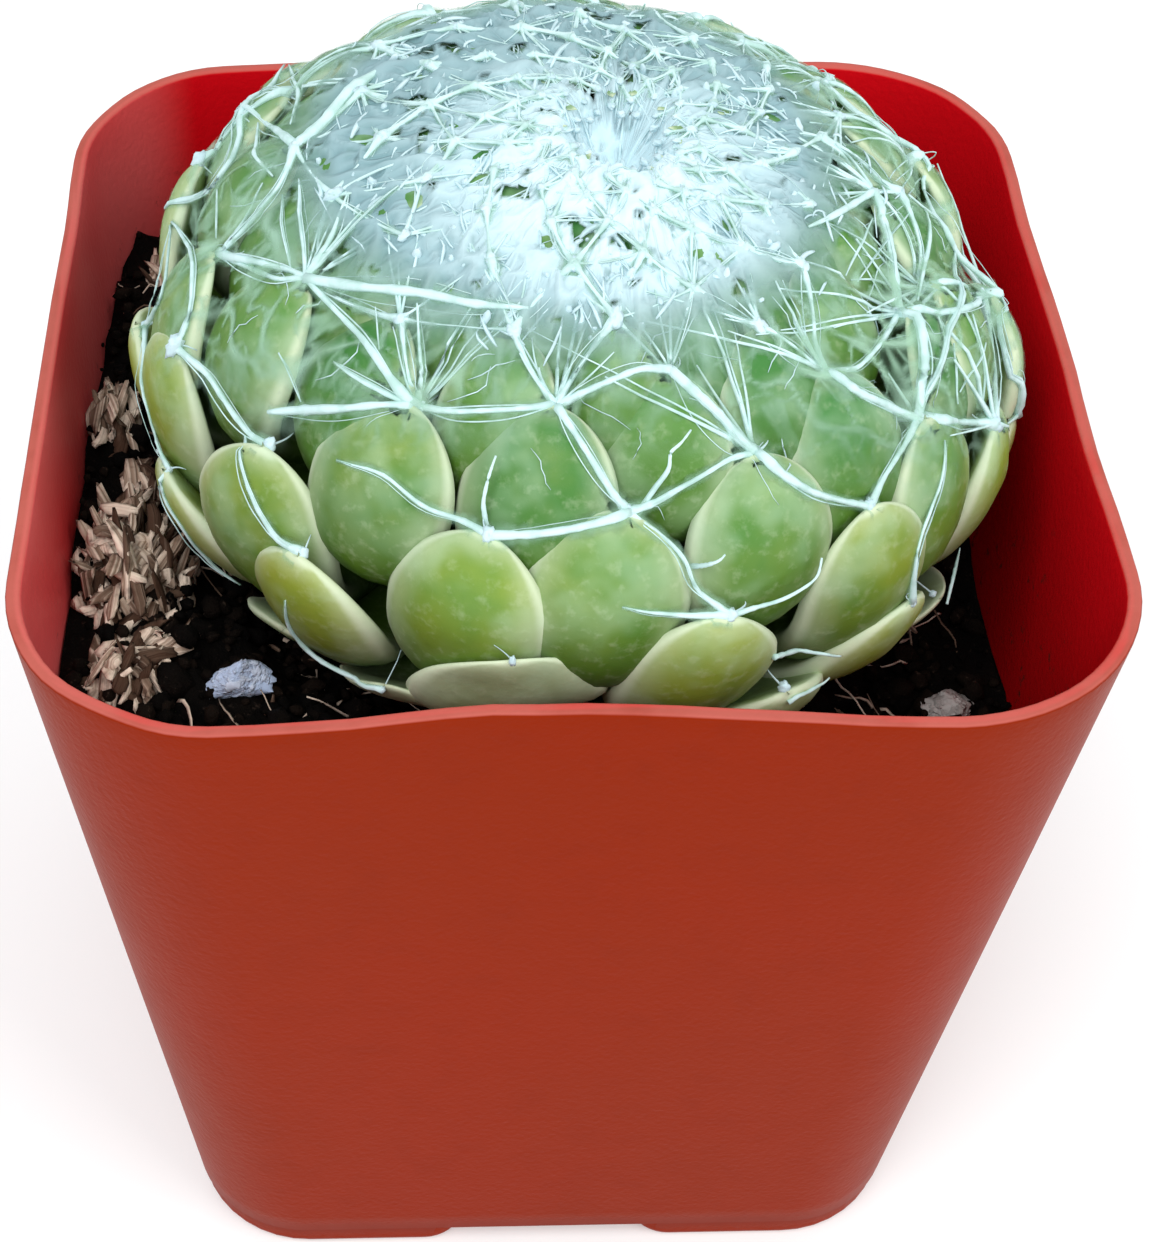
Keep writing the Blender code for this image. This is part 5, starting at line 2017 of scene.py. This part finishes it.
        numbers = {name: np.tile(value.ravel(), 2)[used] for name, value in numbers.items()}
        pile = MeshPile()
        pile.add(np.concatenate([top, low])[used], renumber[faces], None, **numbers)
        return pile

    def cut(self, kept: np.ndarray) -> np.ndarray:
        """The faces of a closed thin skin over some cells of a grid.

        Args:
            kept: which cells the skin covers.

        Returns:
            Quads by the numbers of the upper sheet's points, then the lower sheet's.
        """
        rows, columns = kept.shape[0] + 1, kept.shape[1] + 1
        count = rows * columns
        number = np.arange(count).reshape(rows, columns)
        a, b = number[:-1, :-1], number[:-1, 1:]
        c, d = number[1:, 1:], number[1:, :-1]
        quads = [np.stack([a, b, c, d], -1)[kept], np.stack([a, d, c, b], -1)[kept] + count]
        padded = np.pad(kept, 1)
        inner = padded[1:-1, 1:-1]
        for other, (p, q) in (
            (padded[:-2, 1:-1], (a, b)),
            (padded[1:-1, 2:], (b, c)),
            (padded[2:, 1:-1], (c, d)),
            (padded[1:-1, :-2], (d, a)),
        ):
            rim = inner & ~other
            quads.append(np.stack([p[rim], p[rim] + count, q[rim] + count, q[rim]], -1))
        return np.concatenate(quads)

    def tidy(self, kept: np.ndarray) -> np.ndarray:
        """Drop cells with fewer than two neighbours, and bridge those that touch only by a corner."""
        for _ in range(6):
            padded = np.pad(kept, 1)
            sides = sum(
                part.astype(int)
                for part in (padded[:-2, 1:-1], padded[2:, 1:-1], padded[1:-1, :-2], padded[1:-1, 2:])
            )
            kept = kept & (sides >= 2)
            down = kept[:-1, :-1] & kept[1:, 1:] & ~kept[:-1, 1:] & ~kept[1:, :-1]
            up = kept[:-1, 1:] & kept[1:, :-1] & ~kept[:-1, :-1] & ~kept[1:, 1:]
            kept[:-1, 1:] |= down
            kept[:-1, :-1] |= up
        return kept

    def build(self, studio: "Studio") -> list[bpy.types.Object]:
        """Make the web.

        Args:
            studio: the studio, whose camera places the seen ropes and the loose hairs.

        Returns:
            The ropes, knots, fans, hairs, film, bands, tufts and the layers of felt.
        """
        rope, knot, felt = (wool.material() for wool in (self.rope_wool, self.knot_wool, self.felt_wool))
        film = WebFilm().material()
        draw = np.random.default_rng(self.seed)
        self.cords = self.strings(studio, draw)
        self.fanned = self.threads(draw)
        pieces = [
            self.ropes(draw).build("web_ropes", rope),
            self.knots(draw).build("web_knots", knot),
            self.fans(draw).build("web_fans", rope),
            self.skin_hairs(draw).build("web_skin_hairs", felt),
            self.loose_hairs(studio, draw).build("web_loose_hairs", rope),
            self.film(draw).build("web_film", film),
            self.bands(draw).build("web_bands", film),
            self.flecks(draw).build("web_flecks", knot),
        ]
        pieces += [self.felt(draw, layer).build(layer.name, felt) for layer in self.layers]
        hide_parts("cobweb")
        for piece in pieces:
            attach(piece, "root")
        return pieces


# The studio


@dataclass(frozen=True)
class Studio:
    """Pale floor, soft light and the camera at the photograph's angle."""

    eye: tuple[float, float, float] = (-7.365 * MM, -96.972 * MM, 133.625 * MM)
    right: tuple[float, float, float] = (0.99939, -0.03050, 0.01687)
    up: tuple[float, float, float] = (0.01042, 0.72328, 0.69047)
    forward: tuple[float, float, float] = (0.03326, 0.68988, -0.72316)
    focal_pixels: float = 2376.4
    sensor: float = 36.0
    middle_pixels: tuple[float, float] = (501.5, 636.7)

    def pixel(self, point: np.ndarray) -> np.ndarray:
        """Where the photograph shows a point, in pixels."""
        away = point - np.array(self.eye)
        deep = away @ np.array(self.forward)
        across = self.focal_pixels * (away @ np.array(self.right)) / deep
        rise = self.focal_pixels * (away @ np.array(self.up)) / deep
        return np.array([self.middle_pixels[0] + across, self.middle_pixels[1] - rise])

    def sight(self, spot: tuple[int, int]) -> tuple[np.ndarray, np.ndarray]:
        """The eye and the unit direction in which the photograph shows a pixel."""
        across = (spot[0] - self.middle_pixels[0]) / self.focal_pixels
        rise = (self.middle_pixels[1] - spot[1]) / self.focal_pixels
        heading = np.array(self.forward) + across * np.array(self.right) + rise * np.array(self.up)
        return np.array(self.eye), unit(heading)

    def camera(self) -> None:
        """Place the camera so that its frame is the photograph's."""
        lens = bpy.data.cameras.new("camera")
        lens.sensor_width = self.sensor
        lens.sensor_fit = "AUTO"
        lens.lens = self.sensor * self.focal_pixels / PHOTO_HEIGHT
        lens.shift_x = (PHOTO_WIDTH / 2 - self.middle_pixels[0]) / PHOTO_HEIGHT
        lens.shift_y = (self.middle_pixels[1] - PHOTO_HEIGHT / 2) / PHOTO_HEIGHT
        lens.clip_start = 0.005
        lens.clip_end = 20.0
        made = bpy.data.objects.new("camera", lens)
        pose = Matrix.Identity(4)
        for row in range(3):
            pose[row][0] = self.right[row]
            pose[row][1] = self.up[row]
            pose[row][2] = -self.forward[row]
            pose[row][3] = self.eye[row]
        made.matrix_world = pose
        bpy.context.scene.collection.objects.link(made)
        bpy.context.scene.camera = made

    def lamp(
        self, name: str, spot: Sequence[float], size: float, watts: float, tint: Colour = (1.0, 1.0, 1.0)
    ) -> None:
        """A square soft light that looks at the plant.

        Args:
            name: its name.
            spot: its place.
            size: its side.
            watts: its power.
            tint: its colour.
        """
        light = bpy.data.lights.new(name, "AREA")
        light.energy = watts
        light.size = size
        light.color = tint
        made = bpy.data.objects.new(name, light)
        made.location = spot
        made.rotation_euler = (Vector((0, 0, 0.045)) - Vector(spot)).to_track_quat("-Z", "Y").to_euler()
        bpy.context.scene.collection.objects.link(made)

    def build(self) -> None:
        """Make the floor, the sky light and the lamps."""
        self.camera()
        pile = MeshPile()
        half = 1.6
        pile.add(
            np.array([[x * half, y * half, 0.0] for x, y in ((-1, -1), (1, -1), (1, 1), (-1, 1))]),
            np.array([[0, 1, 2, 3]]),
        )
        floor = pile.build("studio_floor", StudioFloor().material(), smooth=False)
        sky = bpy.data.worlds.new("studio_sky")
        sky.use_nodes = True
        background = sky.node_tree.nodes["Background"]
        background.inputs["Color"].default_value = (0.95, 0.98, 1.0, 1.0)
        background.inputs["Strength"].default_value = 0.74
        bpy.context.scene.world = sky
        bpy.context.scene.view_settings.view_transform = "Standard"
        self.lamp("window_light", (-0.18, -0.36, 0.62), 0.42, 2.7)
        self.lamp("fill_light", (0.46, -0.34, 0.46), 0.40, 1.8, (1.0, 0.98, 0.95))


def flat(corners: Iterable[Sequence[float]]) -> list[list[float]]:
    """A box as plain lists of numbers."""
    return [[float(value) for value in corner] for corner in corners]


def main() -> None:
    """Build every sub-assembly in order and report its pieces."""
    logging.basicConfig(level=logging.INFO, format="%(name)s: %(message)s")
    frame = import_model()
    log.info("bodies: %s", ", ".join(frame["bodies"]))
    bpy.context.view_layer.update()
    studio, shape, spiral = Studio(), PotShape(), Spiral()
    studio.build()
    spiral.settle(studio)
    pieces = Pot(shape).build()
    pieces += Soil(shape).build()
    bark = BarkFibre().material()
    turns = (1.1, 0.35, 1.7, 1.4, 1.9, -0.4)
    for number, turn in enumerate(turns, start=1):
        pieces += BarkChip(f"bark_chip_{number}", turn).build(bark, BARK_SEED + number)
    perlite = MineralGrain("pale_perlite", (0.50, 0.47, 0.45), (0.30, 0.26, 0.24), 0.85)
    flint = MineralGrain("blue_grey_flint", (0.46, 0.58, 0.80), (0.74, 0.80, 0.90), 0.5)
    pale = perlite.material()
    for number in (1, 2):
        grain = MineralChip(f"perlite_grain_{number}", "perlite")
        pieces += grain.build(pale, PERLITE_SEED + number)
    chip = MineralChip("flint_chip", "flint", planes=9, peak=0.9)
    pieces += chip.build(flint.material(), FLINT_SEED)
    leaves = Rosette(spiral).build()
    drape = Drape(spiral)
    drape.measure(leaves[0])
    pieces += leaves + Cobweb(spiral, drape).build(studio)
    total = 0
    for piece in pieces:
        faces = sum(len(polygon.vertices) - 2 for polygon in piece.data.polygons)
        total += faces
        log.info("%s: %d triangles", piece.name, faces)
    log.info("all pieces: %d triangles", total)


if __name__ == "__main__":
    main()
